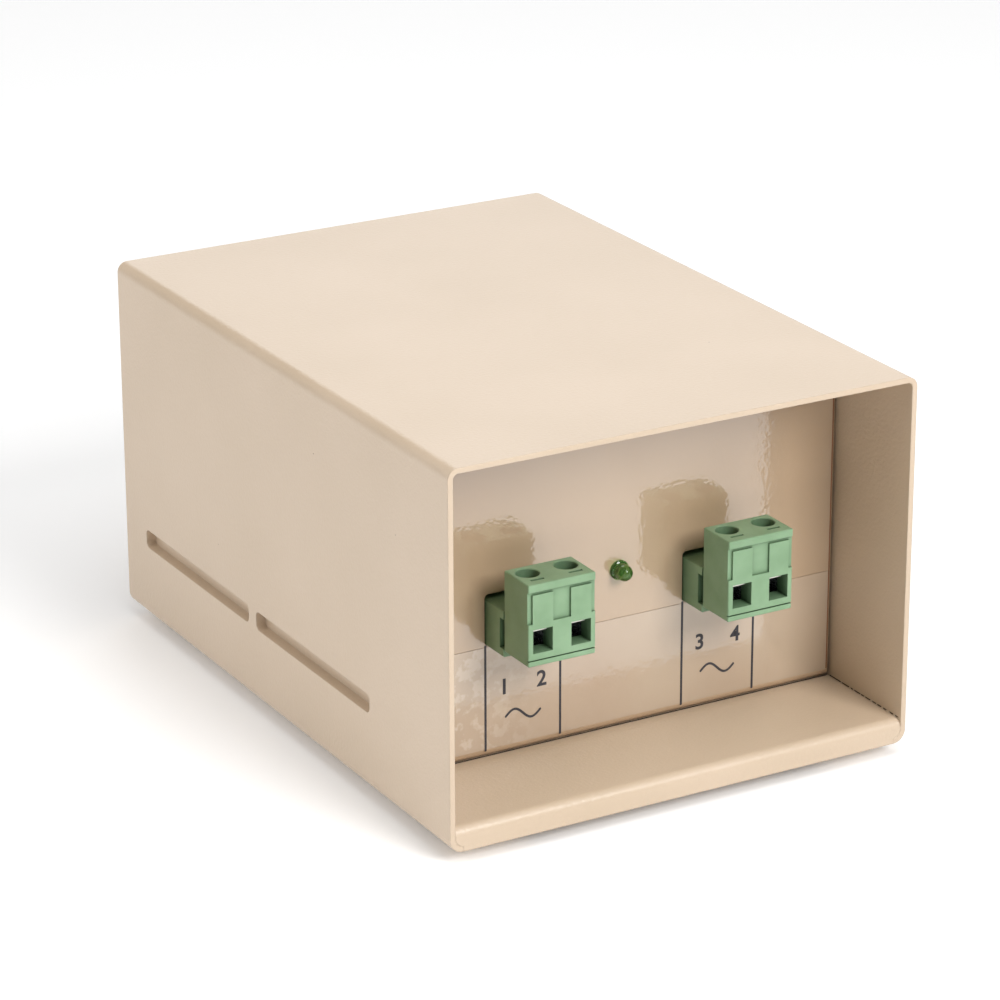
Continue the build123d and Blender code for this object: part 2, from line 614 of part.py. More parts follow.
def make_clamp_screw(x):
    """Captive clamp screw: slotted head on its seat, tip just above the contact bar."""
    seat_z = CAVITY_TOP_Z + SCREW_SEAT
    screw = rod_z(x, CLAMP_Y, CLAMP_SCREW, PORT_TOP_Z + CAGE_GAP / 2, seat_z)
    head = rod_z(x, CLAMP_Y, CLAMP_HEAD, seat_z, seat_z + CLAMP_HEAD_HEIGHT)
    head = chamfer(head.edges().filter_by(GeomType.CIRCLE).sort_by(Axis.Z)[-1], PLUG_EDGE)
    slot = span(
        (x - CLAMP_HEAD, x + CLAMP_HEAD),
        (CLAMP_Y - CLAMP_SLOT / 2, CLAMP_Y + CLAMP_SLOT / 2),
        (seat_z + CLAMP_HEAD_HEIGHT / 2, seat_z + 2 * CLAMP_HEAD_HEIGHT),
    )
    return screw + head - slot


def make_led():
    """Indicator lens: domed body with a collar on the film, and a tail through the panel."""
    front = PANEL_Y - FILM
    z = height(LED_HEIGHT)
    radius = LED_BODY / 2
    dome_y = front - LED_REACH + radius
    lens = rod_y(0, z, LED_BODY, dome_y, PANEL_BACK_Y + LED_TAIL)
    lens += Pos(0, dome_y, z) * Sphere(radius)
    collar = rod_y(0, z, LED_COLLAR, front - LED_COLLAR_HEIGHT, front)
    collar = chamfer(collar.edges().filter_by(GeomType.CIRCLE).sort_by(Axis.Y)[0], PLUG_EDGE)
    return lens + collar


def make_led_leads():
    """Two square leads from the lens through the board."""
    leads = Part()
    half = LED_LEAD / 2
    z = height(LED_HEIGHT)
    for x in (-LED_LEAD_PITCH / 2, LED_LEAD_PITCH / 2):
        ends = (PANEL_BACK_Y + LED_TAIL, BOARD_BACK_Y + PIN_TAIL / 2)
        leads += span((x - half, x + half), ends, (z - half, z + half))
    return leads


def board_hole_places():
    """Where the four board screws are, as X and Z."""
    x = BOARD_WIDTH / 2 - BOARD_HOLE_INSET
    low = height(BOARD_BOTTOM_HEIGHT) + BOARD_HOLE_INSET
    high = height(BOARD_BOTTOM_HEIGHT) + BOARD_HEIGHT - BOARD_HOLE_INSET
    return [(-x, low), (x, low), (-x, high), (x, high)]


def make_board():
    """Upright board with holes for the screws, the pins and the leads."""
    low = height(BOARD_BOTTOM_HEIGHT)
    outline = Pos(0, low + BOARD_HEIGHT / 2) * Rectangle(BOARD_WIDTH, BOARD_HEIGHT)
    for x, z in board_hole_places():
        outline -= Pos(x, z) * Circle((CASE_SCREW_SHANK + HOLE_CLEARANCE) / 2)
    for centre in PLUG_CENTRES.values():
        for offset in POLES.values():
            outline -= Pos(centre + offset, PIN_Z) * Circle(PIN * 0.75 + SOLDER_HOLE_GAP)
    for x in (-LED_LEAD_PITCH / 2, LED_LEAD_PITCH / 2):
        outline -= Pos(x, height(LED_HEIGHT)) * Circle(LED_LEAD * 0.75 + SOLDER_HOLE_GAP)
    return along_y(outline, BOARD_Y, BOARD_BACK_Y)


def make_standoffs():
    """Hexagonal clinched standoffs between the panel and the board."""
    standoffs = Part()
    for x, z in board_hole_places():
        outline = RegularPolygon(STANDOFF_ACROSS / 2, 6, major_radius=False)
        outline -= Circle(CASE_SCREW_SHANK / 2 + THREAD_CLEARANCE)
        standoffs += along_y(Pos(x, z) * outline, PANEL_BACK_Y, BOARD_Y)
    return standoffs


def make_board_screws():
    """Pan-head screws through the board into the standoffs."""
    screws = Part()
    for x, z in board_hole_places():
        shank = rod_y(x, z, CASE_SCREW_SHANK, BOARD_BACK_Y - BOARD_SCREW_LENGTH, BOARD_BACK_Y)
        head = rod_y(x, z, CASE_SCREW_HEAD, BOARD_BACK_Y, BOARD_BACK_Y + BOARD_SCREW_HEAD_HEIGHT)
        rim = head.edges().filter_by(GeomType.CIRCLE).sort_by(Axis.Y)[-1]
        head = chamfer(rim, BOARD_SCREW_HEAD_HEIGHT / 3)
        screws += shank + head
    return screws


def fuse_axis_y():
    """Y of the fuse's axis behind the board."""
    return BOARD_BACK_Y + FUSE_STANDOFF + FUSE_CLIP_SHEET + FUSE_DIAMETER / 2 + FUSE_CAP_WALL


def fuse_tube(diameter, start, end):
    """Round bar along the fuse's axis between two X."""
    return along_x(Pos(fuse_axis_y(), height(FUSE_HEIGHT)) * Circle(diameter / 2), start, end)


def make_fuse_glass():
    """Glass body of the fuse."""
    return fuse_tube(FUSE_DIAMETER, FUSE_OFFSET - FUSE_LENGTH / 2, FUSE_OFFSET + FUSE_LENGTH / 2)


def make_fuse_caps():
    """Metal cap on each end of the glass."""
    caps = Part()
    for side in (-1, 1):
        outer_x = FUSE_OFFSET + side * (FUSE_LENGTH / 2 + FUSE_CAP_WALL)
        inner_x = FUSE_OFFSET + side * (FUSE_LENGTH / 2 - FUSE_CAP_LENGTH)
        ends = sorted((outer_x, inner_x))
        caps += fuse_tube(FUSE_DIAMETER + 2 * FUSE_CAP_WALL, *ends)
    return caps - make_fuse_glass()


def make_fuse_clips():
    """Spring clip under each cap: a ring open at the back, on a foot on the board."""
    clips = Part()
    axis_y = fuse_axis_y()
    radius = FUSE_DIAMETER / 2 + FUSE_CAP_WALL
    for side in (-1, 1):
        x = FUSE_OFFSET + side * (FUSE_LENGTH / 2 - FUSE_CAP_LENGTH / 2)
        ring = Circle(radius + FUSE_CLIP_SHEET) - Circle(radius)
        ring -= Pos(radius, 0) * Rectangle(radius, 4 * radius)
        ring = Pos(axis_y, height(FUSE_HEIGHT)) * ring
        foot_y = (BOARD_BACK_Y, axis_y - radius - FUSE_CLIP_SHEET / 2)
        foot = Pos(sum(foot_y) / 2, height(FUSE_HEIGHT)) * Rectangle(foot_y[1] - foot_y[0], radius)
        clips += along_x(ring + foot, x - FUSE_CLIP_WIDTH / 2, x + FUSE_CLIP_WIDTH / 2)
    return clips - fuse_tube(2 * radius, FUSE_OFFSET - FUSE_LENGTH, FUSE_OFFSET + FUSE_LENGTH)


def make_disc(x):
    """Coated disc component standing off the board on two leads."""
    z = height(DISC_HEIGHT)
    start = BOARD_BACK_Y + DISC_STANDOFF
    body = Cylinder(DISC_DIAMETER / 2, DISC_THICKNESS)
    body = chamfer(body.edges().filter_by(GeomType.CIRCLE), DISC_CORNER)
    body = Pos(x, start + DISC_DIAMETER / 2, z) * body
    for offset in (-DISC_DIAMETER / 4, DISC_DIAMETER / 4):
        body += rod_y(x + offset, z, AXIAL_LEAD, BOARD_BACK_Y, start + DISC_DIAMETER / 2)
    return body


def make_axial(board_height, diameter, length):
    """Axial component: bevelled body on a lead bent down to the board at both ends."""
    x, z = AXIAL_OFFSET, height(board_height)
    y = BOARD_BACK_Y + AXIAL_STANDOFF
    half = AXIAL_SPAN / 2
    points = [(x - half, BOARD_BACK_Y), (x - half, y), (x + half, y), (x + half, BOARD_BACK_Y)]
    outline = folded(points, [AXIAL_LEAD] * 2, AXIAL_LEAD)
    lead = Pos(0, 0, z - AXIAL_LEAD / 2) * extrude(outline, AXIAL_LEAD)
    body = Rot(0, 90, 0) * Cylinder(diameter / 2, length)
    body = chamfer(body.edges().filter_by(GeomType.CIRCLE), diameter / 5)
    return Pos(x, y, z) * body + lead


def core_block(x, z):
    """Block of the core over the depth of the stack."""
    return span(x, (TRANSFORMER_Y - STACK / 2, TRANSFORMER_Y + STACK / 2), z)


def make_e_laminations():
    """Stack of E laminations, standing on its back with the legs up."""
    whole = core_block((-CORE_HALF_WIDTH, CORE_HALF_WIDTH), (CHASSIS_FLOOR_Z, WINDOW_TOP_Z))
    window = core_block((LEG, 2 * LEG), (WINDOW_BOTTOM_Z, WINDOW_TOP_Z + LEG))
    return whole - mirrored(window)


def make_i_laminations():
    """Stack of I laminations that closes the core on top."""
    return core_block((-CORE_HALF_WIDTH, CORE_HALF_WIDTH), (WINDOW_TOP_Z, CORE_TOP_Z))


def coil_outline(grow, radius):
    """Rounded rectangle round the middle leg, grown on every side."""
    shape = RectangleRounded if radius else Rectangle
    sizes = (2 * LEG + 2 * grow, STACK + 2 * grow)
    return shape(*sizes, radius) if radius else shape(*sizes)


def coil_ring(inner, outer, radius, low, high):
    """Ring round the middle leg between two heights."""
    section = coil_outline(outer, radius) - coil_outline(inner, 0)
    return Pos(0, TRANSFORMER_Y, low) * extrude(section, high - low)


BOBBIN_OUTSIDE = BOBBIN_CLEARANCE + BOBBIN_WALL
BOBBIN_LOW_Z = WINDOW_BOTTOM_Z + BOBBIN_CLEARANCE
BOBBIN_HIGH_Z = WINDOW_TOP_Z - BOBBIN_CLEARANCE
BOBBIN_MIDDLE_Z = (BOBBIN_LOW_Z + BOBBIN_HIGH_Z) / 2
WINDING_OUTSIDE = LEG - WINDING_MARGIN
PRIMARY_Z = (BOBBIN_LOW_Z + BOBBIN_WALL, BOBBIN_MIDDLE_Z - BOBBIN_WALL / 2)
SECONDARY_Z = (BOBBIN_MIDDLE_Z + BOBBIN_WALL / 2, BOBBIN_HIGH_Z - BOBBIN_WALL)


def make_bobbin():
    """Two-chamber bobbin: tube on the middle leg with three flanges."""
    bobbin = coil_ring(BOBBIN_CLEARANCE, BOBBIN_OUTSIDE, 0, BOBBIN_LOW_Z, BOBBIN_HIGH_Z)
    flange = LEG - BOBBIN_CLEARANCE
    bobbin += coil_ring(BOBBIN_CLEARANCE, flange, SHEET, BOBBIN_LOW_Z, PRIMARY_Z[0])
    bobbin += coil_ring(BOBBIN_CLEARANCE, flange, SHEET, PRIMARY_Z[1], SECONDARY_Z[0])
    bobbin += coil_ring(BOBBIN_CLEARANCE, flange, SHEET, SECONDARY_Z[1], BOBBIN_HIGH_Z)
    return bobbin


def make_winding(chamber):
    """Wound wire of one chamber."""
    return coil_ring(BOBBIN_OUTSIDE, WINDING_OUTSIDE - TAPE, WINDING_CORNER, *chamber)


def make_tape():
    """Turn of tape round each winding, with an opening where the leads come out."""
    tape = Part()
    for chamber in (PRIMARY_Z, SECONDARY_Z):
        outside = coil_outline(WINDING_OUTSIDE, WINDING_CORNER + TAPE)
        section = outside - coil_outline(WINDING_OUTSIDE - TAPE, WINDING_CORNER)
        tape += Pos(0, TRANSFORMER_Y, chamber[0]) * extrude(section, chamber[1] - chamber[0])
    window = LEAD_PITCH + 2 * LEAD_DIAMETER
    front = TRANSFORMER_Y - STACK / 2 - WINDING_OUTSIDE
    for z in (sum(PRIMARY_Z) / 2, sum(SECONDARY_Z) / 2):
        opening = ((-window / 2, window / 2), (front - SHEET, front + 2 * TAPE))
        tape -= span(*opening, (z - LEAD_DIAMETER, z + LEAD_DIAMETER))
    return tape


def make_transformer_frame():
    """Clamp strap over the core, its feet turned out on the chassis base."""
    foot_x = FRAME_FOOT_X
    side_x = CORE_HALF_WIDTH + FRAME_SHEET / 2
    low, high = CHASSIS_FLOOR_Z + FRAME_SHEET / 2, CORE_TOP_Z + FRAME_SHEET / 2
    points = [(-foot_x, low), (-side_x, low), (-side_x, high), (side_x, high), (side_x, low), (foot_x, low)]
    tight = FRAME_SHEET
    section = folded(points, [FRAME_BEND, tight, tight, FRAME_BEND], FRAME_SHEET)
    frame = along_y(section, TRANSFORMER_Y - FRAME_WIDTH / 2, TRANSFORMER_Y + FRAME_WIDTH / 2)
    frame -= core_block((-CORE_HALF_WIDTH, CORE_HALF_WIDTH), (CHASSIS_FLOOR_Z, CORE_TOP_Z))
    for x in (-STUD_X, STUD_X):
        hole = STUD_DIAMETER + HOLE_CLEARANCE
        frame -= rod_z(x, TRANSFORMER_Y, hole, CHASSIS_FLOOR_Z, CHASSIS_FLOOR_Z + 2 * FRAME_SHEET)
    return frame


def make_studs():
    """Studs pressed into the chassis base, standing up through the feet of the frame."""
    studs = Part()
    for x in (-STUD_X, STUD_X):
        studs += rod_z(x, TRANSFORMER_Y, STUD_HEAD, FLOOR_Z, CHASSIS_FLOOR_Z)
        studs += rod_z(x, TRANSFORMER_Y, STUD_DIAMETER, CHASSIS_FLOOR_Z, CHASSIS_FLOOR_Z + STUD_LENGTH)
    return studs


def make_stud_nuts():
    """Hexagon nuts on the feet of the frame."""
    nuts = Part()
    for x in (-STUD_X, STUD_X):
        outline = RegularPolygon(NUT_ACROSS / 2, 6, major_radius=False)
        outline -= Circle(STUD_DIAMETER / 2 + THREAD_CLEARANCE)
        nuts += Pos(x, TRANSFORMER_Y, CHASSIS_FLOOR_Z + FRAME_SHEET) * extrude(outline, NUT_HEIGHT)
    return nuts


def make_leads(chamber, side, board_z):
    """Two insulated leads from the front of a winding to the rear of the board."""
    leads = Part()
    start_y = TRANSFORMER_Y - STACK / 2 - WINDING_OUTSIDE + TAPE
    start_z = sum(chamber) / 2
    run = start_y - BOARD_BACK_Y
    for pole in (-0.5, 0.5):
        x = pole * LEAD_PITCH
        end_x = side * LEAD_SPREAD + x
        points = [
            (x, start_y, start_z),
            (x, start_y - 0.3 * run, start_z),
            ((x + end_x) / 2, start_y - 0.5 * run, (start_z + board_z) / 2 - LEAD_SAG),
            (end_x, start_y - 0.7 * run, board_z),
            (end_x, BOARD_BACK_Y, board_z),
        ]
        path = Polyline(*points)
        section = Plane(path @ 0, z_dir=path % 0) * Circle(LEAD_DIAMETER / 2)
        leads += sweep(section, path, transition=Transition.RIGHT)
    return leads


def build():
    """Every node of the power supply, by name."""
    seam = height(FILM_SEAM_HEIGHT)
    nodes = {
        "outer_cover": make_cover(),
        "base_pan": make_pan(),
        "inner_chassis": make_chassis(),
        "film_upper": make_film(seam + FILM_SEAM_GAP / 2, CHASSIS_TOP_Z - FILM_TOP_MARGIN),
        "film_lower": make_film(height(FILM_BOTTOM_HEIGHT), seam - FILM_SEAM_GAP / 2),
        "rubber_feet": make_feet(),
        "case_screws": make_case_screws(),
        "case_nuts": make_case_nuts(),
        "circuit_board": make_board(),
        "board_standoffs": make_standoffs(),
        "board_screws": make_board_screws(),
        "led_lens": make_led(),
        "led_leads": make_led_leads(),
        "fuse_glass": make_fuse_glass(),
        "fuse_caps": make_fuse_caps(),
        "fuse_clips": make_fuse_clips(),
        "varistor": make_disc(VARISTOR_OFFSET),
        "resettable_fuse": make_disc(PTC_OFFSET),
        "led_resistor": make_axial(RESISTOR_HEIGHT, RESISTOR_DIAMETER, RESISTOR_LENGTH),
        "blocking_diode": make_axial(DIODE_HEIGHT, DIODE_DIAMETER, DIODE_LENGTH),
        "core_e_laminations": make_e_laminations(),
        "core_i_laminations": make_i_laminations(),
        "bobbin": make_bobbin(),
        "primary_winding": make_winding(PRIMARY_Z),
        "secondary_winding": make_winding(SECONDARY_Z),
        "winding_tape": make_tape(),
        "transformer_frame": make_transformer_frame(),
        "transformer_studs": make_studs(),
        "transformer_nuts": make_stud_nuts(),
        "primary_leads": make_leads(PRIMARY_Z, 1, height(LEAD_BOARD_HEIGHT_LOW)),
        "secondary_leads": make_leads(SECONDARY_Z, -1, height(LEAD_BOARD_HEIGHT_HIGH)),
    }
    for plug, centre in PLUG_CENTRES.items():
        nodes[f"header_{plug}"] = make_header(centre)
        nodes[f"header_pins_{plug}"] = make_pins(centre)
        nodes[f"plug_housing_{plug}"] = make_plug_housing(centre)
        nodes[f"contacts_{plug}"] = make_contacts(centre)
        for pole, offset in POLES.items():
            nodes[f"clamp_cage_{plug}_{pole}"] = make_cage(centre + offset)
            nodes[f"clamp_screw_{plug}_{pole}"] = make_clamp_screw(centre + offset)
    return nodes


os.makedirs("parts", exist_ok=True)
for node_name, shape in build().items():
    export_step(shape, f"parts/{node_name}.step")
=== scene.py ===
"""Finishes, print and fine detail of a folded-metal power supply with pluggable terminals.

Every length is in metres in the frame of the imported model: X to the right seen from the front,
Y from the front to the back, Z up, with the feet standing on Z = 0.
"""

from __future__ import annotations

import logging
import math
import random
from dataclasses import dataclass
from enum import Enum
from typing import Callable, Sequence

import bmesh
import bpy
from mathutils import Matrix, Vector


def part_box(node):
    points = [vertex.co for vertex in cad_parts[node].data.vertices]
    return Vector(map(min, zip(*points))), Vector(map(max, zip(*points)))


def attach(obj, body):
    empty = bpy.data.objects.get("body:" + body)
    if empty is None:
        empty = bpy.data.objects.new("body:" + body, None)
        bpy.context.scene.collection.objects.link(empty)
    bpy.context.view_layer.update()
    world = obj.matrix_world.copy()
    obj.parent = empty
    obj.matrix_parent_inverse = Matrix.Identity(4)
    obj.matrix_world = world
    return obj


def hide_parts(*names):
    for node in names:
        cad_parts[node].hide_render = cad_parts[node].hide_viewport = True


Tree = bpy.types.NodeTree
Node = bpy.types.Node
Socket = bpy.types.NodeSocket
Work = bmesh.types.BMesh
Vert = bmesh.types.BMVert
Triple = tuple[float, float, float]
LOG = logging.getLogger("power_supply")
MM = 0.001
ROOT_BODY = "case"
PLUG_NAMES = ("output", "input")
POLE_NAMES = ("left", "right")
SIDES = (("right", 1), ("left", -1))


class Direction(Enum):
    """Row axes that a turned piece can point along."""

    FRONT = Vector((0, -1, 0))
    RIGHT = Vector((1, 0, 0))


def linear(hex_colour: str) -> tuple[float, float, float, float]:
    """Red, green and blue in linear light, with an alpha of 1, of an sRGB colour as "#rrggbb"."""
    channels = [int(hex_colour[i : i + 2], 16) / 255 for i in (1, 3, 5)]
    light = [c / 12.92 if c <= 0.04045 else ((c + 0.055) / 1.055) ** 2.4 for c in channels]
    return (*light, 1.0)


def per_mm(size_mm: float) -> float:
    """Texture scale, in cells a metre, for cells of this size in millimetres."""
    return 1.0 / (size_mm * MM)


def add_node(tree: Tree, kind: str, sockets: dict | None = None, **settings: object) -> Node:
    """Adds a shader node with its settings, and fills or links its inputs.

    Args:
        tree: Node tree to add to.
        kind: Node type, such as "ShaderNodeBump".
        sockets: Input name or index to a value, or to an output socket to link from.
        settings: Attributes set on the node first.

    Returns:
        The new node.
    """
    node = tree.nodes.new(kind)
    for name, value in settings.items():
        setattr(node, name, value)
    for name, value in (sockets or {}).items():
        if isinstance(value, Socket):
            tree.links.new(value, node.inputs[name])
        else:
            node.inputs[name].default_value = value
    return node


@dataclass(frozen=True)
class Finish:
    """A real material and surface, drawn in the piece's own coordinates.

    Attributes:
        name: Material name in the file.
        colour: Base colour as sRGB hex.
        roughness: Roughness of the surface itself.
        metallic: 1 for bare metal, 0 for anything else.
        ior: Index of refraction, left at the default for metals.
    """

    name: str
    colour: str
    roughness: float
    metallic: float = 0.0
    ior: float = 1.5

    def material(self) -> bpy.types.Material:
        """Builds the material, or returns it if it is made already."""
        made = bpy.data.materials.get(self.name)
        if made:
            return made
        made = bpy.data.materials.new(self.name)
        made.use_nodes = True
        tree = made.node_tree
        shader = tree.nodes["Principled BSDF"]
        shader.inputs["Base Color"].default_value = linear(self.colour)
        shader.inputs["Roughness"].default_value = self.roughness
        shader.inputs["Metallic"].default_value = self.metallic
        if not self.metallic:
            shader.inputs["IOR"].default_value = self.ior
        place = add_node(tree, "ShaderNodeTexCoord").outputs["Object"]
        self.dress(tree, shader, place)
        return made

    def dress(self, tree: Tree, shader: Node, place: Socket) -> None:
        """Adds the pattern of the surface.

        Args:
            tree: Node tree of the material.
            shader: Its Principled node.
            place: Output with the piece's own coordinates in metres.
        """
        raise NotImplementedError


def link(shader: Node, name: str, source: Socket) -> None:
    """Links an output socket to a named input of the shader."""
    shader.id_data.links.new(source, shader.inputs[name])


def noise(tree: Tree, place: Socket, size_mm: float, detail: float = 2.0) -> Socket:
    """Factor of a noise whose cells have a real size."""
    sockets = {"Vector": place, "Scale": per_mm(size_mm), "Detail": detail}
    return add_node(tree, "ShaderNodeTexNoise", sockets).outputs[0]


def mixed(tree: Tree, factor: Socket, first: object, second: object) -> Socket:
    """Colour between two colours or colour outputs."""
    return add_node(tree, "ShaderNodeMix", {"Factor": factor, 6: first, 7: second}, data_type="RGBA").outputs[2]


def remapped(tree: Tree, value: Socket, **limits: float) -> Socket:
    """Value moved from one range to another, each limit given as from_min, from_max, to_min or to_max."""
    sockets = {name.replace("_", " ").title(): limit for name, limit in limits.items()}
    return add_node(tree, "ShaderNodeMapRange", {"Value": value, **sockets}).outputs["Result"]


def computed(tree: Tree, operation: str, first: Socket, second: float | Socket) -> Socket:
    """Result of one mathematical operation on two values."""
    return add_node(tree, "ShaderNodeMath", {0: first, 1: second}, operation=operation).outputs[0]


def relief(
    tree: Tree, height: Socket, depth_mm: float, strength: float = 1.0, normal: Socket | None = None
) -> Socket:
    """Normal of a surface raised by a pattern of a real depth."""
    sockets: dict = {"Height": height, "Distance": depth_mm * MM, "Strength": strength}
    if normal is not None:
        sockets["Normal"] = normal
    return add_node(tree, "ShaderNodeBump", sockets).outputs["Normal"]


def shaded(
    tree: Tree, factor: Socket, low: str, high: str, limits: tuple[float, float] = (0.3, 0.7)
) -> Socket:
    """Colour that goes from low to high as a factor crosses two limits."""
    ramp = add_node(tree, "ShaderNodeValToRGB", {"Fac": factor})
    first, second = ramp.color_ramp.elements
    first.position, second.position = limits
    first.color, second.color = linear(low), linear(high)
    return ramp.outputs["Color"]


@dataclass(frozen=True)
class PowderCoat(Finish):
    """Polyester powder coat, baked on steel: satin, with the fine orange peel that baking leaves.

    Attributes:
        peel_mm: Size of the orange peel.
        peel_depth_mm: Its depth.
        peel_strength: How fully it tilts the light.
        drift_mm: Size of the slow change of shade.
        shade: Colour at the far end of that change.
        speck: Colour of the specks.
        speck_apart_mm: Rough distance between specks.
        speck_size: Radius of a speck, as a share of that distance.
        speck_patch_mm: Size of the patches that have specks.
        speck_share: Noise value above which a patch has them.
        edge_mm: Radius that the coat gives to sharp edges.
    """

    peel_mm: float = 0.6
    peel_depth_mm: float = 0.1
    peel_strength: float = 0.8
    drift_mm: float = 34.0
    shade: str = "#c5b097"
    speck: str = "#6b5236"
    speck_apart_mm: float = 8.5
    speck_size: float = 0.016
    speck_patch_mm: float = 14.0
    speck_share: float = 0.56
    edge_mm: float = 0.25

    def dress(self, tree: Tree, shader: Node, place: Socket) -> None:
        """Adds slow shade, orange peel, softened edges and a few baked-in specks."""
        drift = shaded(tree, noise(tree, place, self.drift_mm), self.shade, self.colour)
        sockets = {"Vector": place, "Scale": per_mm(self.speck_apart_mm), "Randomness": 1.0}
        cells = add_node(tree, "ShaderNodeTexVoronoi", sockets).outputs["Distance"]
        dot = computed(tree, "LESS_THAN", cells, self.speck_size)
        rare = computed(tree, "GREATER_THAN", noise(tree, place, self.speck_patch_mm, 0.0), self.speck_share)
        colour = mixed(tree, computed(tree, "MULTIPLY", dot, rare), drift, linear(self.speck))
        link(shader, "Base Color", colour)
        edge = add_node(tree, "ShaderNodeBevel", {"Radius": self.edge_mm * MM}, samples=6).outputs["Normal"]
        peel = relief(tree, noise(tree, place, self.peel_mm), self.peel_depth_mm, self.peel_strength, edge)
        link(shader, "Normal", peel)


@dataclass(frozen=True)
class FilmOverCoat(PowderCoat):
    """Clear polyester film stuck over the powder coat: mirror gloss, with a wavy reflection.

    Attributes:
        drift_mm: Size of the change of shade in the coat under it.
        wave_mm: Size of the film's slow waves.
        wave_depth_mm: Their depth.
        ripple_mm: Size of the ripple that makes the edges of reflections jagged.
        ripple_depth_mm: Its depth.
        gloss: Roughness of the film.
        film_ior: Its index of refraction, set high for a strong mirror image.
        trapped: How strongly air trapped under the film's left end shows.
        trapped_from: Where the trapped air starts, in X.
        trapped_to: Where it shows fully, in X.
        air: Colour of the coat seen through trapped air.
    """

    drift_mm: float = 30.0
    wave_mm: float = 3.0
    wave_depth_mm: float = 0.03
    ripple_mm: float = 0.7
    ripple_depth_mm: float = 0.032
    gloss: float = 0.02
    film_ior: float = 2.0
    trapped: float = 0.0
    trapped_from: float = -16.0 * MM
    trapped_to: float = -34.0 * MM
    air: str = "#efe6da"

    def dress(self, tree: Tree, shader: Node, place: Socket) -> None:
        """Adds the coat under the film, the gloss of the film and air trapped beneath it."""
        drift = shaded(tree, noise(tree, place, self.drift_mm), self.shade, self.colour)
        if self.trapped:
            blotch = shaded(tree, noise(tree, place, 1.8, 3.0), "#000000", "#ffffff", (0.5, 0.62))
            along = add_node(tree, "ShaderNodeSeparateXYZ", {0: place}).outputs["X"]
            left = remapped(tree, along, from_min=self.trapped_from, from_max=self.trapped_to, to_max=self.trapped)
            drift = mixed(tree, computed(tree, "MULTIPLY", blotch, left), drift, linear(self.air))
        link(shader, "Base Color", drift)
        shader.inputs["Coat Weight"].default_value = 1.0
        shader.inputs["Coat Roughness"].default_value = self.gloss
        shader.inputs["Coat IOR"].default_value = self.film_ior
        wave = relief(tree, noise(tree, place, self.wave_mm, 1.0), self.wave_depth_mm)
        ripple = relief(tree, noise(tree, place, self.ripple_mm, 0.5), self.ripple_depth_mm, normal=wave)
        link(shader, "Coat Normal", ripple)


@dataclass(frozen=True)
class MouldedPolyamide(Finish):
    """Green polyamide, injection moulded: even colour and a fine spark-eroded grain.

    Attributes:
        grain_mm: Size of the grain.
        shade: Colour at the far end of the flow marks.
        recess_mm: How far a wall looks for others that hem it in.
        deep: Colour of the painted shade deep inside holes and beside walls that hem a face in.
        scatter_mm: How far red, green and blue light travel inside the moulding.
    """

    grain_mm: float = 0.18
    shade: str = "#7e9c7a"
    recess_mm: float = 5.0
    deep: str = "#3f5a3c"
    scatter_mm: Triple = (0.6, 1.2, 0.5)

    def dress(self, tree: Tree, shader: Node, place: Socket) -> None:
        """Adds faint flow shade, painted shade in the recesses, grain and soft edges."""
        flow = shaded(tree, noise(tree, place, 5.0, 3.0), self.shade, self.colour)
        # Painted shade: faces hemmed in by nearby walls are darkened towards the deep colour
        sockets = {"Distance": self.recess_mm * MM}
        painted_shade_mask = add_node(tree, "ShaderNodeAmbientOcclusion", sockets, samples=8).outputs["AO"]
        link(shader, "Base Color", mixed(tree, painted_shade_mask, linear(self.deep), flow))
        shader.inputs["Specular IOR Level"].default_value = 0.2
        shader.inputs["Subsurface Weight"].default_value = 0.08
        shader.inputs["Subsurface Radius"].default_value = tuple(reach * MM for reach in self.scatter_mm)
        edge = add_node(tree, "ShaderNodeBevel", {"Radius": 0.08 * MM}, samples=4).outputs["Normal"]
        link(shader, "Normal", relief(tree, noise(tree, place, self.grain_mm), 0.006, 0.4, edge))


@dataclass(frozen=True)
class TintedEpoxy(Finish):
    """Green-tinted clear epoxy, cast round the indicator's die: glassy, and bright where light passes."""

    glow: str = "#74bf52"

    def dress(self, tree: Tree, shader: Node, place: Socket) -> None:
        """Lets light through and adds the slight cloud of the tint."""
        cloud = shaded(tree, noise(tree, place, 1.2), self.glow, self.colour, (0.2, 0.8))
        link(shader, "Base Color", cloud)
        shader.inputs["Transmission Weight"].default_value = 0.88
        link(shader, "Normal", relief(tree, noise(tree, place, 0.9), 0.002, 0.3))


@dataclass(frozen=True)
class PlatedMetal(Finish):
    """Plated or drawn metal: bright, with the fine lines that drawing and stamping leave."""

    line_mm: float = 0.12

    def dress(self, tree: Tree, shader: Node, place: Socket) -> None:
        """Adds drawing lines and a slight change of gloss."""
        stretch = add_node(tree, "ShaderNodeMapping", {"Vector": place, "Scale": (1.0, 0.12, 1.0)}).outputs[0]
        lines = noise(tree, stretch, self.line_mm, 3.0)
        gloss = remapped(tree, lines, to_min=self.roughness - 0.08, to_max=self.roughness + 0.12)
        link(shader, "Roughness", gloss)
        link(shader, "Normal", relief(tree, lines, 0.004, 0.4))


@dataclass(frozen=True)
class PrintedInk(Finish):
    """Screen-printed ink on the film: near black, thin, with edges that are a little uneven."""

    def dress(self, tree: Tree, shader: Node, place: Socket) -> None:
        """Adds the mesh texture of the screen, drawn coarser than it is so that it shows."""
        link(shader, "Base Color", shaded(tree, noise(tree, place, 0.35), "#2b2a30", self.colour))
        link(shader, "Normal", relief(tree, noise(tree, place, 0.25), 0.004, 0.3))


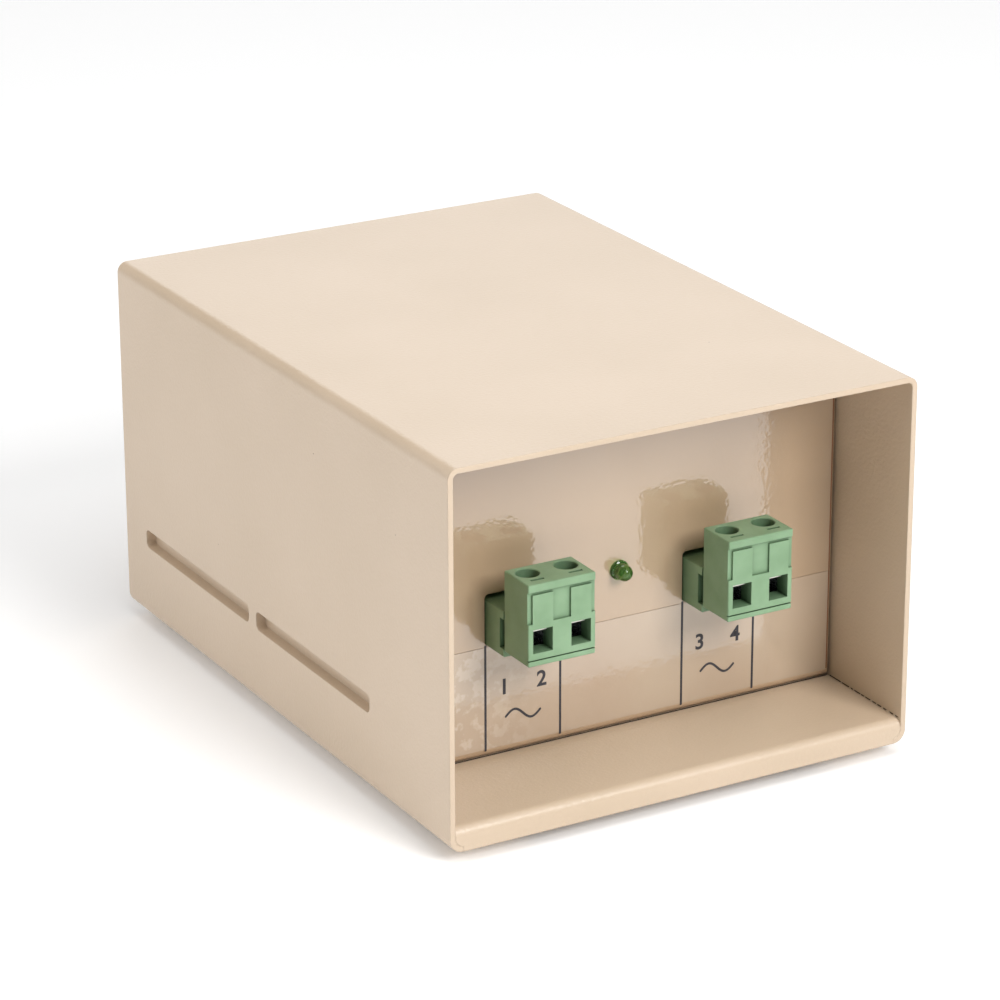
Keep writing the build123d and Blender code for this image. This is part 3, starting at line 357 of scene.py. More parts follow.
@dataclass(frozen=True)
class Rubber(Finish):
    """Moulded rubber: matt, slightly dusty, with a fine texture."""

    dust: str = "#3a3937"

    def dress(self, tree: Tree, shader: Node, place: Socket) -> None:
        """Adds dust and grain."""
        link(shader, "Base Color", shaded(tree, noise(tree, place, 2.0, 4.0), self.colour, self.dust))
        link(shader, "Normal", relief(tree, noise(tree, place, 0.3), 0.02, 0.5))


@dataclass(frozen=True)
class Striped(Finish):
    """A stack or winding: lines at a real spacing along one axis, as sheets or turns show."""

    pitch_mm: float = 0.5
    gap: str = "#101010"
    axis: str = "Z"

    def dress(self, tree: Tree, shader: Node, place: Socket) -> None:
        """Adds the lines as colour and relief."""
        sockets = {"Vector": place, "Scale": per_mm(self.pitch_mm) / 20, "Distortion": 0.4, "Detail": 1.0}
        settings = {"wave_type": "BANDS", "bands_direction": self.axis}
        bands = add_node(tree, "ShaderNodeTexWave", sockets, **settings).outputs["Fac"]
        link(shader, "Base Color", shaded(tree, bands, self.gap, self.colour, (0.0, 0.35)))
        link(shader, "Normal", relief(tree, bands, self.pitch_mm / 4, 0.6))


@dataclass(frozen=True)
class Laminate(Finish):
    """Glass-fibre board under solder mask: deep green gloss over a faint weave."""

    weave_mm: float = 0.6

    def dress(self, tree: Tree, shader: Node, place: Socket) -> None:
        """Adds the weave under the mask and the gloss of the mask."""
        sockets = {"Vector": place, "Scale": per_mm(self.weave_mm)}
        weave = add_node(tree, "ShaderNodeTexChecker", sockets).outputs["Fac"]
        link(shader, "Base Color", shaded(tree, weave, "#0d3b22", self.colour, (0.0, 1.0)))
        link(shader, "Normal", relief(tree, weave, 0.01, 0.3))
        shader.inputs["Coat Weight"].default_value = 0.6


@dataclass(frozen=True)
class DippedCoating(Finish):
    """Dipped, moulded or enamelled small part: smooth, with a slight sag in the surface."""

    sag_mm: float = 1.5

    def dress(self, tree: Tree, shader: Node, place: Socket) -> None:
        """Adds the sag and a slight change of gloss."""
        sag = noise(tree, place, self.sag_mm)
        gloss = remapped(tree, sag, to_min=self.roughness - 0.05, to_max=self.roughness + 0.1)
        link(shader, "Roughness", gloss)
        link(shader, "Normal", relief(tree, sag, 0.02, 0.4))


@dataclass(frozen=True)
class FuseGlass(Finish):
    """Drawn glass tube: clear, thin-walled and faintly green at the edge."""

    def dress(self, tree: Tree, shader: Node, place: Socket) -> None:
        """Lets light through and adds the faint draw lines."""
        shader.inputs["Transmission Weight"].default_value = 1.0
        link(shader, "Normal", relief(tree, noise(tree, place, 1.5), 0.003, 0.2))


# Powder coat in light beige: satin, so the top takes the softbox as an even pale tone
CASE_COAT = PowderCoat("powder_coated_steel_beige", "#cab59d", 0.38, ior=1.7)
# The chassis has the cover's coat darkened as painted shade: its panel edges in the recess read a little deeper than
# the cover
CHASSIS_SHADED_COAT = PowderCoat("powder_coated_steel_painted_shade", "#b99f82", 0.42, shade="#b2977a")
# Dark strips laid in the open joints as painted shade, for the shadow deep in each gap
JOINT_PAINTED_SHADE = Rubber("joint_painted_shade_dark", "#2a2018", 0.7, dust="#453524")
# The same coat seen through the glossy films: colour a little deeper, gloss from the film
FILM_UPPER = FilmOverCoat("polyester_film_on_coat_upper", "#b89f83", 0.4, shade="#b1977a")
FILM_LOWER = FilmOverCoat("polyester_film_on_coat_lower", "#bda992", 0.4, shade="#b19981", trapped=0.26)
# Adhesive that has browned where it was squeezed out along the films' cut edge
EDGE_ADHESIVE = DippedCoating("acrylic_adhesive_aged", "#7d5030", 0.3)
# Terminal mouldings: a cool mid green that turns yellow-green in warm bounce light
GREEN_POLYAMIDE = MouldedPolyamide("moulded_polyamide_green", "#8aa886", 0.42)
# Indicator: clear green epoxy over a bright reflector cup
LENS_EPOXY = TintedEpoxy("cast_epoxy_green", "#9ad676", 0.03, ior=1.5)
# Metals: tin on contacts and pins is greyer than the zinc on screws
TIN_PLATE = PlatedMetal("tin_plated_copper", "#cfccc4", 0.28, metallic=1.0)
ZINC_PLATE = PlatedMetal("zinc_plated_steel", "#bcc0c6", 0.32, metallic=1.0)
# Clamp cages: plated steel, its colour darkened as painted shade for the shadow deep in the wire ports
CAGE_PAINTED_SHADE = PlatedMetal("plated_steel_painted_shade", "#77797e", 0.24, metallic=1.0)
SILVER_CUP = PlatedMetal("silver_plated_leadframe", "#e8e6df", 0.15, metallic=1.0)
# Ink: a soft black that never goes fully dark
INK = PrintedInk("screen_ink_black", "#3a3840", 0.45)
# Feet: the one matt black on the object
FOOT_RUBBER = Rubber("moulded_rubber_black", "#171717", 0.8, ior=1.52)
# Board: deep green gloss
BOARD = Laminate("glass_fibre_board_green", "#14552f", 0.3)
# Core and windings: sheets and turns of wire, seen as lines at their real spacing
CORE_STEEL = Striped("silicon_steel_laminations", "#5a5c60", 0.5, metallic=1.0, pitch_mm=0.5, axis="Y")
WIRE_PRIMARY = Striped("enamelled_wire_fine", "#a4481c", 0.25, metallic=1.0, pitch_mm=0.35, gap="#3a1206")
WIRE_SECONDARY = Striped("enamelled_wire_heavy", "#b5602c", 0.22, metallic=1.0, pitch_mm=0.9, gap="#3a1a08")
# Bobbin and tape: milky nylon under glossy yellow film
BOBBIN_NYLON = DippedCoating("moulded_nylon_natural", "#e3dfcf", 0.45, sag_mm=3.0)
TAPE_POLYESTER = DippedCoating("polyester_tape_yellow", "#dcb528", 0.2, sag_mm=4.0)
# Dipped and moulded parts on the board: each colour is the usual one of its kind
VARISTOR_COAT = DippedCoating("dipped_epoxy_blue", "#1f4f9a", 0.35)
PTC_COAT = DippedCoating("dipped_epoxy_yellow", "#d9a520", 0.35)
RESISTOR_LACQUER = DippedCoating("resistor_lacquer_tan", "#cdb07c", 0.35)
DIODE_EPOXY = DippedCoating("moulded_epoxy_black", "#17171a", 0.5)
# Insulation of the leads: black on the mains side, red on the low-voltage side
SLEEVE_BLACK = DippedCoating("pvc_insulation_black", "#141414", 0.4)
SLEEVE_RED = DippedCoating("pvc_insulation_red", "#a01a16", 0.4)
# Fuse: clear tube, so that its bright caps carry the look
FUSE_TUBE = FuseGlass("drawn_glass_clear", "#eef5f2", 0.02, ior=1.5)

# Colour bands: opaque paint, gold and silver a little glossier
BAND_FINISHES = {
    name: DippedCoating(f"band_paint_{name}", colour, roughness)
    for name, colour, roughness in (
        ("brown", "#5a3214", 0.4),
        ("black", "#101010", 0.4),
        ("red", "#b3201a", 0.4),
        ("gold", "#b08a3a", 0.35),
        ("silver", "#c8c8c8", 0.35),
    )
}


def dress_nodes(finishes: dict[str, Finish]) -> None:
    """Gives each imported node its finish, keeping its mesh and place."""
    for node, finish in finishes.items():
        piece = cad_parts[node]
        material = finish.material()
        if not piece.material_slots:
            piece.data.materials.append(material)
        for material_slot in piece.material_slots:
            material_slot.link = "OBJECT"
            material_slot.material = material
        LOG.info("node %s: %s", node, finish.name)


def centre_of(node: str) -> Vector:
    """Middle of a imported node's box."""
    low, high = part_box(node)
    return (low + high) / 2


def add_object(name: str, data: bpy.types.ID) -> bpy.types.Object:
    """Makes an object of this data and puts it in the scene."""
    made = bpy.data.objects.new(name, data)
    bpy.context.scene.collection.objects.link(made)
    return made


def place_piece(
    name: str, mesh: bpy.types.Mesh, finish: Finish, body: str = ROOT_BODY, smooth: bool = True
) -> bpy.types.Object:
    """Makes a piece from a mesh, gives it its finish and lets it ride on a body.

    Args:
        name: Name of the piece.
        mesh: Its mesh, in the row frame.
        finish: Its finish.
        body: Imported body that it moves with.
        smooth: Whether its faces are shaded smooth.

    Returns:
        The new piece.
    """
    piece = add_object(name, mesh)
    mesh.materials.append(finish.material())
    if smooth:
        mesh.shade_smooth()
    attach(piece, body)
    LOG.info("piece %s: %d faces, %s", name, len(mesh.polygons), finish.name)
    return piece


def mesh_from(name: str, shape: Callable[[Work], None]) -> bpy.types.Mesh:
    """Makes a mesh with a function that fills a bmesh, with its normals turned outwards."""
    work = bmesh.new()
    shape(work)
    bmesh.ops.recalc_face_normals(work, faces=work.faces)
    mesh = bpy.data.meshes.new(name)
    work.to_mesh(mesh)
    work.free()
    return mesh


def mesh_of(curve: bpy.types.Curve, name: str) -> bpy.types.Mesh:
    """Turns a curve or text into a mesh."""
    holder = add_object(f"{name}_outline", curve)
    bpy.context.view_layer.update()
    mesh = bpy.data.meshes.new_from_object(holder.evaluated_get(bpy.context.evaluated_depsgraph_get()))
    bpy.data.objects.remove(holder)
    mesh.name = name
    return mesh


def quarter_turn(steps: int) -> list[float]:
    """Angles from 0 to a right angle, both included."""
    return [math.pi / 2 * k / steps for k in range(steps + 1)]


def bridge(work: Work, low: Sequence[Vert], high: Sequence[Vert]) -> None:
    """Joins two closed rings of equally many points with faces."""
    for i in range(len(low)):
        j = (i + 1) % len(low)
        work.faces.new((low[i], low[j], high[j], high[i]))


def turned(
    work: Work, profile: Sequence[tuple[float, float]], origin: Vector, direction: Direction, steps: int
) -> None:
    """Adds a turned body: a profile of (radius, distance along the axis), spun about the axis.

    Args:
        work: Bmesh to add to.
        profile: Points from one end to the other; a radius of 0 closes that end.
        origin: Where distance 0 is.
        direction: Which way the axis points.
        steps: Number of faces round the axis.
    """
    axis = direction.value
    side = axis.orthogonal().normalized()
    across = axis.cross(side)
    rings: list[list[Vert]] = []
    for radius, along in profile:
        centre = origin + axis * along
        if radius == 0:
            rings.append([work.verts.new(centre)])
            continue
        turns = [2 * math.pi * i / steps for i in range(steps)]
        rings.append([work.verts.new(centre + (side * math.cos(t) + across * math.sin(t)) * radius) for t in turns])
    for low, high in zip(rings, rings[1:]):
        if len(low) == len(high):
            bridge(work, low, high)
            continue
        for i in range(steps):
            j = (i + 1) % steps
            work.faces.new((low[0], high[i], high[j]) if len(low) == 1 else (low[i], low[j], high[0]))
    for ring in (rings[0], rings[-1]):
        if len(ring) > 1:
            work.faces.new(ring)


def ribbon(work: Work, path: Sequence[Vector], width: float, thickness: float, normal: Vector) -> None:
    """Adds a thin printed or coated strip along a path, with rounded ends.

    Args:
        work: Bmesh to add to.
        path: Points along the middle of the strip.
        width: Full width.
        thickness: How far it stands out along the normal.
        normal: Unit vector out of the surface under it.
    """
    cap_steps = 8
    left: list[Vector] = []
    right: list[Vector] = []
    for i, point in enumerate(path):
        ahead = path[min(i + 1, len(path) - 1)] - path[max(i - 1, 0)]
        across = normal.cross(ahead.normalized())
        left.append(point + across * width / 2)
        right.append(point - across * width / 2)

    def cap(centre: Vector, start: Vector) -> list[Vector]:
        """Half circle about the end of the path, from one side to the other."""
        turns = [-math.pi * k / cap_steps for k in range(1, cap_steps)]
        return [centre + Matrix.Rotation(turn, 3, normal) @ (start - centre) for turn in turns]

    outline = left + cap(path[-1], left[-1]) + right[::-1] + cap(path[0], right[0])
    base = [work.verts.new(p) for p in outline]
    face = work.faces.new(base)
    lifted = bmesh.ops.extrude_face_region(work, geom=[face])
    verts = [item for item in lifted["geom"] if isinstance(item, Vert)]
    bmesh.ops.translate(work, vec=normal * thickness, verts=verts)


def place_ribbon(
    name: str,
    path: Sequence[Vector],
    width: float,
    thickness: float,
    finish: Finish,
    normal: Vector = Direction.FRONT.value,
) -> None:
    """Makes a piece of one ribbon; the arguments are those of ribbon and place_piece."""
    mesh = mesh_from(name, lambda work: ribbon(work, path, width, thickness, normal))
    place_piece(name, mesh, finish, smooth=False)


@dataclass
class Enclosure:
    """The folded cover, the base pan and the inner chassis, all in the same powder coat.

    Attributes:
        bead_radius: Size of the fillets of coat that bridge the pan's side joints.
        bead_gap: Range of the open dashes between bridges.
        bead_run: Range of the bridges' lengths.
        bead_start: Distance of the first bridge from the pan's front.
        bead_end: Distance of the last bridge's end from the films.
        seed: Seed of the random lengths.
        sheet: Thickness of the sheet.
        flange_bend: Outer radius of the bends at the bottom of the cover.
        lip_bend: Outer radius of the bends of the pan.
        joint_gap: Width of the joint between pan and cover.
        joint_width: Width of the dark strips of painted shade in the open joints.
        fill_radius: Radius of the coat that closes the joints at the ends of the pan's lips.
    """

    bead_radius: float = 0.4 * MM
    bead_gap: tuple[float, float] = (0.4 * MM, 1.7 * MM)
    bead_run: tuple[float, float] = (0.3 * MM, 0.9 * MM)
    bead_start: float = 1.6 * MM
    bead_end: float = 1.5 * MM
    seed: int = 11
    sheet: float = 1.0 * MM
    flange_bend: float = 2.5 * MM
    lip_bend: float = 1.75 * MM
    joint_gap: float = 0.08 * MM
    joint_width: float = 0.26 * MM
    fill_radius: float = 0.12 * MM

    def dress(self) -> None:
        """Coats the three folded parts."""
        dress_nodes({"outer_cover": CASE_COAT, "base_pan": CASE_COAT, "inner_chassis": CHASSIS_SHADED_COAT})

    def build_bridges(self) -> None:
        """Adds the coat that bridges the joint between the pan's floor and each side wall."""
        pan_low, pan_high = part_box("base_pan")
        film_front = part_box("film_upper")[0].y
        draw = random.Random(self.seed)
        for side, sign in SIDES:
            wall_x = pan_high.x if sign > 0 else pan_low.x
            runs: list[tuple[float, float]] = []
            y = pan_low.y + self.bead_start
            while y < film_front - 2 * MM:
                # Bridges thin out towards the panel, where the spray reached less
                reach = 1 - (y - pan_low.y) / (film_front - pan_low.y)
                length = draw.uniform(*self.bead_run) * (0.35 + 1.3 * reach)
                runs.append((y, min(y + length, film_front - self.bead_end)))
                y += length + draw.uniform(*self.bead_gap) * (1.7 - reach)
            name = f"coat_bridges_{side}"
            mesh = mesh_from(name, lambda work, r=runs, x=wall_x, s=sign: self._beads(work, r, x, -s, pan_high.z))
            place_piece(name, mesh, CASE_COAT)

    def build_joints(self) -> None:
        """Adds dark strips of painted shade in the open joints round the pan, where the gaps fall in shadow."""
        pan_low, pan_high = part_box("base_pan")
        chassis_low, chassis_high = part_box("inner_chassis")
        floor_z = pan_high.z + self.joint_width / 2
        y = chassis_low.y + 0.35 * MM
        path = [Vector((x, y, floor_z)) for x in (chassis_low.x, chassis_high.x)]
        # Painted shade: a dark strip stands in for the shadow in the joint under the panel
        place_ribbon("joint_panel", path, self.joint_width, 0.05 * MM, JOINT_PAINTED_SHADE)
        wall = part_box("outer_cover")[1].x - self.sheet
        for side, sign in SIDES:
            ends = (pan_low.y + 0.9 * MM, chassis_low.y - 0.2 * MM)
            # Painted shade: dark strips stand in for the shadow in the joints beside the walls
            run = [Vector((sign * wall, end, floor_z - 0.02 * MM)) for end in ends]
            normal = Vector((-sign, 0, 0))
            place_ribbon(f"joint_{side}", run, self.joint_width * 0.85, 0.006 * MM, JOINT_PAINTED_SHADE, normal)

    def build_fills(self) -> None:
        """Adds the coat that has run into the joints between the pan's lips and the cover's bends."""
        for end, outward in (("front", -1), ("rear", 1)):
            for side, sign in SIDES:
                name = f"coat_fill_{end}_{side}"
                curve = bpy.data.curves.new(name, "CURVE")
                curve.dimensions = "3D"
                curve.bevel_depth = self.fill_radius
                curve.use_fill_caps = True
                path = self._joint_path(sign, outward)
                spline = curve.splines.new("POLY")
                spline.points.add(len(path) - 1)
                for point, place in zip(spline.points, path):
                    point.co = (*place, 1.0)
                place_piece(name, mesh_of(curve, name), CASE_COAT)

    def _joint_path(self, sign: int, outward: int) -> list[Vector]:
        """Middle of one joint: over the lip's bend, down beside the lip and round the cover's bend."""
        low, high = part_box("outer_cover")
        floor_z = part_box("base_pan")[1].z
        face_y = high.y if outward > 0 else low.y
        x = high.x - self.sheet - self.joint_gap / 2
        sunk = self.fill_radius
        reach = self.lip_bend - sunk
        path = []
        for turn in quarter_turn(10):
            y = face_y - outward * (self.lip_bend - reach * math.sin(turn))
            path.append(Vector((sign * x, y, floor_z - self.lip_bend + reach * math.cos(turn))))
        centre = Vector((high.x - self.flange_bend, 0, low.z + self.flange_bend))
        inner = x - centre.x
        for turn in quarter_turn(10):
            across, down = inner * math.cos(turn), inner * math.sin(turn)
            path.append(Vector((sign * (centre.x + across), face_y - outward * sunk, centre.z - down)))
        path.append(path[-1] + Vector((-sign * self.joint_gap / 2, 0, -0.03 * MM)))
        path.append(Vector((path[-1].x, path[-1].y, low.z + sunk)))
        return path

    def _beads(
        self, work: Work, runs: Sequence[tuple[float, float]], wall_x: float, toward: int, floor_z: float
    ) -> None:
        """Adds one low fillet of coat for each run."""
        end_steps = 4
        for start, end in runs:
            rings: list[list[Vert]] = []
            stops = [0.5 - 0.5 * math.cos(math.pi * k / end_steps) for k in range(end_steps + 1)]
            for stop in stops:
                y = start + (end - start) * stop
                swell = math.sin(math.pi * min(max(stop, 0.04), 0.96)) ** 0.4
                radius = self.bead_radius * swell
                ring = [work.verts.new((wall_x - toward * 0.16 * MM, y, floor_z - 0.05 * MM))]
                for turn in quarter_turn(5):
                    x = wall_x + toward * radius * (1 - math.sin(turn)) - toward * 0.1 * MM
                    ring.append(work.verts.new((x, y, floor_z + radius * (1 - math.cos(turn)) - 0.01 * MM)))
                rings.append(ring)
            for low, high in zip(rings, rings[1:]):
                bridge(work, low, high)
            work.faces.new(rings[0])
            work.faces.new(rings[-1])


@dataclass
class PanelPrint:
    """The two films and the print on them: a line down from each pole, its number and an AC mark.

    Attributes:
        line_width: Width of the lines.
        ink: Thickness of the ink.
        line_bottom: Height at which the lines end.
        number_height: Height of the numerals.
        bolder: How far the numerals' strokes are grown.
        number_row: Height of the middle of the numerals.
        wave_row: Height of the middle of the AC marks.
        wave_length: Width of an AC mark.
        wave_rise: How far it rises and falls.
        line_offset: Distance of each line from the middle between them.
        pole_offset: Distance of each numeral from that middle, half a pitch.
        shift: How far the print lies to the right of the terminals.
        line_top_gap: How far the left lines stop below the headers.
        adhesive_width: Width of the aged adhesive along the films' right edge.
    """

    line_width: float = 0.45 * MM
    ink: float = 0.02 * MM
    line_bottom: float = 8.5 * MM
    number_height: float = 2.9 * MM
    bolder: float = 0.09 * MM
    number_row: float = 19.8 * MM
    wave_row: float = 14.1 * MM
    wave_length: float = 7.0 * MM
    wave_rise: float = 1.1 * MM
    line_offset: float = 7.62 * MM
    pole_offset: float = 3.81 * MM
    shift: float = 0.75 * MM
    line_top_gap: float = 0.2 * MM
    adhesive_width: float = 0.24 * MM

    def dress(self) -> None:
        """Gives both films their gloss."""
        dress_nodes({"film_upper": FILM_UPPER, "film_lower": FILM_LOWER})

    def build(self) -> None:
        """Prints the lines, numerals and AC marks under both plugs."""
        film_low, film_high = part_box("film_lower")
        surface = film_low.y
        number = 1
        for plug in PLUG_NAMES:
            middle = centre_of(f"header_{plug}").x + self.shift
            under_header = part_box(f"header_{plug}")[0].z - self.line_top_gap
            self._line(f"print_line_{plug}_left", middle - self.line_offset, under_header, surface)
            self._line(f"print_line_{plug}_right", middle + self.line_offset, film_high.z, surface)
            for side in (-1, 1):
                self._numeral(f"print_number_{number}", str(number), middle + side * self.pole_offset, surface)
                number += 1
            self._wave(f"print_wave_{plug}", middle, surface)
        self._adhesive_edge(surface)

    def _adhesive_edge(self, surface: float) -> None:
        """Adds the line of aged adhesive along the right edge of both films."""
        low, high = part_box("film_lower")[0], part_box("film_upper")[1]
        x = high.x - self.adhesive_width / 2
        ends = (low.z + self.adhesive_width, high.z - self.adhesive_width)
        path = [Vector((x, surface, end)) for end in ends]
        place_ribbon("film_edge", path, self.adhesive_width, self.ink, EDGE_ADHESIVE)

    def _line(self, name: str, x: float, top: float, surface: float) -> None:
        """Prints one upright line."""
        path = [Vector((x, surface, end)) for end in (self.line_bottom, top)]
        place_ribbon(name, path, self.line_width, self.ink, INK)

    def _wave(self, name: str, x: float, surface: float) -> None:
        """Prints one AC mark, a single turn of a wave."""
        steps = 32
        path = []
        for i in range(steps + 1):
            share = i / steps
            rise = self.wave_rise * math.sin(2 * math.pi * share)
            path.append(Vector((x + self.wave_length * (share - 0.5), surface, self.wave_row + rise)))
        place_ribbon(name, path, self.line_width, self.ink, INK)

    def _numeral(self, name: str, text: str, x: float, surface: float) -> None:
        """Prints one plain numeral."""
        curve = bpy.data.curves.new(name, "FONT")
        curve.body = text
        curve.size = self.number_height / 0.7
        curve.align_x = curve.align_y = "CENTER"
        curve.extrude = self.ink / 2
        curve.offset = self.bolder
        mesh = mesh_of(curve, name)
        place = Matrix.Translation((x, surface - self.ink / 2, self.number_row)) @ Matrix.Rotation(math.pi / 2, 4, "X")
        mesh.transform(place)
        place_piece(name, mesh, INK, smooth=False)


@dataclass
class TerminalPlug:
    """One pluggable terminal, its header, pins, contacts, clamps and screws.

    Attributes:
        name: "output" or "input".
        lip_drop: How far the contact bar's turned-down front edge reaches below the top of the port.
        lip_width: Width of that edge.
        lip_depth: How far the piece reaches back along the bar.
        lip_chamfer: Bevel of its lower edge.
        sheet: Thickness of the contact strip.
    """

    name: str
    lip_drop: float = 0.95 * MM
    lip_width: float = 3.0 * MM
    lip_depth: float = 0.9 * MM
    lip_chamfer: float = 0.1 * MM
    sheet: float = 0.5 * MM

    def dress(self) -> None:
        """Gives the mouldings and metal parts their finishes."""
        dress_nodes({f"{part}_{self.name}": GREEN_POLYAMIDE for part in ("plug_housing", "header")})
        dress_nodes({f"{part}_{self.name}": TIN_PLATE for part in ("header_pins", "contacts")})
        for pole in POLE_NAMES:
            ending = f"{self.name}_{pole}"
            dress_nodes({f"clamp_cage_{ending}": CAGE_PAINTED_SHADE, f"clamp_screw_{ending}": ZINC_PLATE})

    def build_lips(self) -> None:
        """Adds the turned-down front edge of each contact bar, the bright metal seen in the ports."""
        low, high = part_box(f"contacts_{self.name}")
        inner = low.y + self.sheet * 0.7
        bottom = high.z - self.lip_drop
        outline = [(low.y + self.lip_depth, high.z)]
        for turn in quarter_turn(6):
            outline.append((low.y + self.sheet * (1 - math.sin(turn)), high.z - self.sheet * (1 - math.cos(turn))))
        outline += [(low.y, bottom + self.lip_chamfer), (low.y + self.lip_chamfer, bottom), (inner, bottom)]
        outline += [(inner, high.z - self.sheet), (low.y + self.lip_depth, high.z - self.sheet)]
        for pole in POLE_NAMES:
            name = f"contact_lip_{self.name}_{pole}"
            middle = centre_of(f"clamp_cage_{self.name}_{pole}").x
            mesh = mesh_from(name, lambda work, x=middle: self._lip(work, outline, x))
            place_piece(name, mesh, TIN_PLATE, f"plug_{self.name}", smooth=False)

    def _lip(self, work: Work, outline: Sequence[tuple[float, float]], middle: float) -> None:
        """Adds one lip: an outline in Y and Z, drawn out along X."""
        half = self.lip_width / 2
        near = [work.verts.new((middle - half, y, z)) for y, z in outline]
        far = [work.verts.new((middle + half, y, z)) for y, z in outline]
        work.faces.new(near)
        work.faces.new(far)
        bridge(work, near, far)


@dataclass
class Indicator:
    """The indicator: a smooth cast lens over a reflector cup and its post.

    Attributes:
        reach: How far the lens stands out of the film.
        collar_step: How far the collar stands out from the body.
        collar_height: Height of the collar.
        tail_bevel: Bevel at the rear end of the lens.
        steps: Faces round the lens.
        cup_steps: Faces round the cup.
    """

    reach: float = 3.5 * MM
    collar_step: float = 0.35 * MM
    collar_height: float = 0.7 * MM
    tail_bevel: float = 0.1 * MM
    steps: int = 96
    cup_steps: int = 48

    def build(self) -> None:
        """Replaces the plain lens and adds the cup inside it."""
        low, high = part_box("led_lens")
        centre = centre_of("led_lens")
        collar = (high.x - low.x) / 2
        body = collar - self.collar_step
        origin = Vector((centre.x, low.y + self.reach, centre.z))
        tail = high.y - low.y - self.reach
        rim = self.collar_height
        profile = [(0.0, -tail), (body - self.tail_bevel, -tail), (body, -tail + self.tail_bevel), (body, -0.001 * MM)]
        profile += [(collar - 0.05 * MM, 0.0), (collar, 0.06 * MM), (collar, rim - 0.15 * MM)]
        profile += [(collar - 0.15 * MM, rim), (body + 0.04 * MM, rim + 0.02 * MM), (body, rim + 0.1 * MM)]
        dome_start = self.reach - body
        profile += [(body * math.cos(turn), dome_start + body * math.sin(turn)) for turn in quarter_turn(16)[:-1]]
        profile.append((0.0, self.reach))
        mesh = mesh_from("led_lens_cast", lambda work: turned(work, profile, origin, Direction.FRONT, self.steps))
        lens = place_piece("led_lens_cast", mesh, LENS_EPOXY)
        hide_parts("led_lens")

        cup = [(0.0, -1.9 * MM), (0.3 * MM, -1.9 * MM), (0.36 * MM, -0.9 * MM), (0.48 * MM, -0.5 * MM)]
        cup += [(0.42 * MM, -0.48 * MM), (0.22 * MM, -0.7 * MM), (0.0, -0.72 * MM)]
        mesh = mesh_from("led_cup", lambda work: turned(work, cup, origin, Direction.FRONT, self.cup_steps))
        place_piece("led_cup", mesh, SILVER_CUP)
        dress_nodes({"led_leads": TIN_PLATE})


@dataclass
class BoardAssembly:
    """The circuit board and the small parts on it.

    Attributes:
        band_width: Width of a painted colour band.
        band_lift: How far a band stands out of the body under it.
        band_apart: Distance between the resistor's bands.
        resistor_radius: Radius of the resistor's body.
        diode_radius: Radius of the diode's body.
        diode_band_offset: Distance of the diode's band from the middle of its body.
    """

    band_width: float = 0.7 * MM
    band_lift: float = 0.03 * MM
    band_apart: float = 1.2 * MM
    resistor_radius: float = 1.25 * MM
    diode_radius: float = 1.35 * MM
    diode_band_offset: float = 1.4 * MM

    def dress(self) -> None:
        """Gives the board and every part on it their finishes."""
        finishes = {
            "circuit_board": BOARD,
            "board_standoffs": ZINC_PLATE,
            "board_screws": ZINC_PLATE,
            "fuse_glass": FUSE_TUBE,
            "fuse_caps": TIN_PLATE,
            "fuse_clips": TIN_PLATE,
            "varistor": VARISTOR_COAT,
            "resettable_fuse": PTC_COAT,
            "led_resistor": RESISTOR_LACQUER,
            "blocking_diode": DIODE_EPOXY,
        }
        dress_nodes(finishes)

    def build_bands(self) -> None:
        """Paints the colour bands on the resistor and the end mark on the diode."""
        colours = ("brown", "black", "red", "gold")
        for i, colour in enumerate(colours):
            offset = (i - (len(colours) - 1) / 2) * self.band_apart
            name, finish = f"resistor_band_{i + 1}", BAND_FINISHES[colour]
            self._band(name, "led_resistor", offset, finish, self.resistor_radius)
        finish = BAND_FINISHES["silver"]
        self._band("diode_band", "blocking_diode", self.diode_band_offset, finish, self.diode_radius)

    def _band(self, name: str, node: str, offset: float, finish: Finish, radius: float) -> None:
        """Adds one band round a body that lies along X."""
        low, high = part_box(node)
        centre = Vector(((low.x + high.x) / 2 + offset, high.y - radius, (low.z + high.z) / 2))
        outer = radius + self.band_lift
        half = self.band_width / 2
        profile = [(outer - 0.02 * MM, -half), (outer, -half * 0.8), (outer, half * 0.8), (outer - 0.02 * MM, half)]
        mesh = mesh_from(name, lambda work: turned(work, profile, centre, Direction.RIGHT, 40))
        place_piece(name, mesh, finish)


@dataclass
class Transformer:
    """The mains transformer: laminations, bobbin, windings, tape, clamp frame and leads."""

    def dress(self) -> None:
        """Gives every part of the transformer its finish."""
        finishes = {
            "core_e_laminations": CORE_STEEL,
            "core_i_laminations": CORE_STEEL,
            "bobbin": BOBBIN_NYLON,
            "primary_winding": WIRE_PRIMARY,
            "secondary_winding": WIRE_SECONDARY,
            "winding_tape": TAPE_POLYESTER,
            "transformer_frame": ZINC_PLATE,
            "transformer_studs": ZINC_PLATE,
            "transformer_nuts": ZINC_PLATE,
            "primary_leads": SLEEVE_BLACK,
            "secondary_leads": SLEEVE_RED,
        }
        dress_nodes(finishes)


@dataclass
class Underside:
    """The feet and the screws and nuts that hold the case together."""

    def dress(self) -> None:
        """Gives the feet and fasteners their finishes."""
        dress_nodes({"rubber_feet": FOOT_RUBBER, "case_screws": ZINC_PLATE, "case_nuts": ZINC_PLATE})


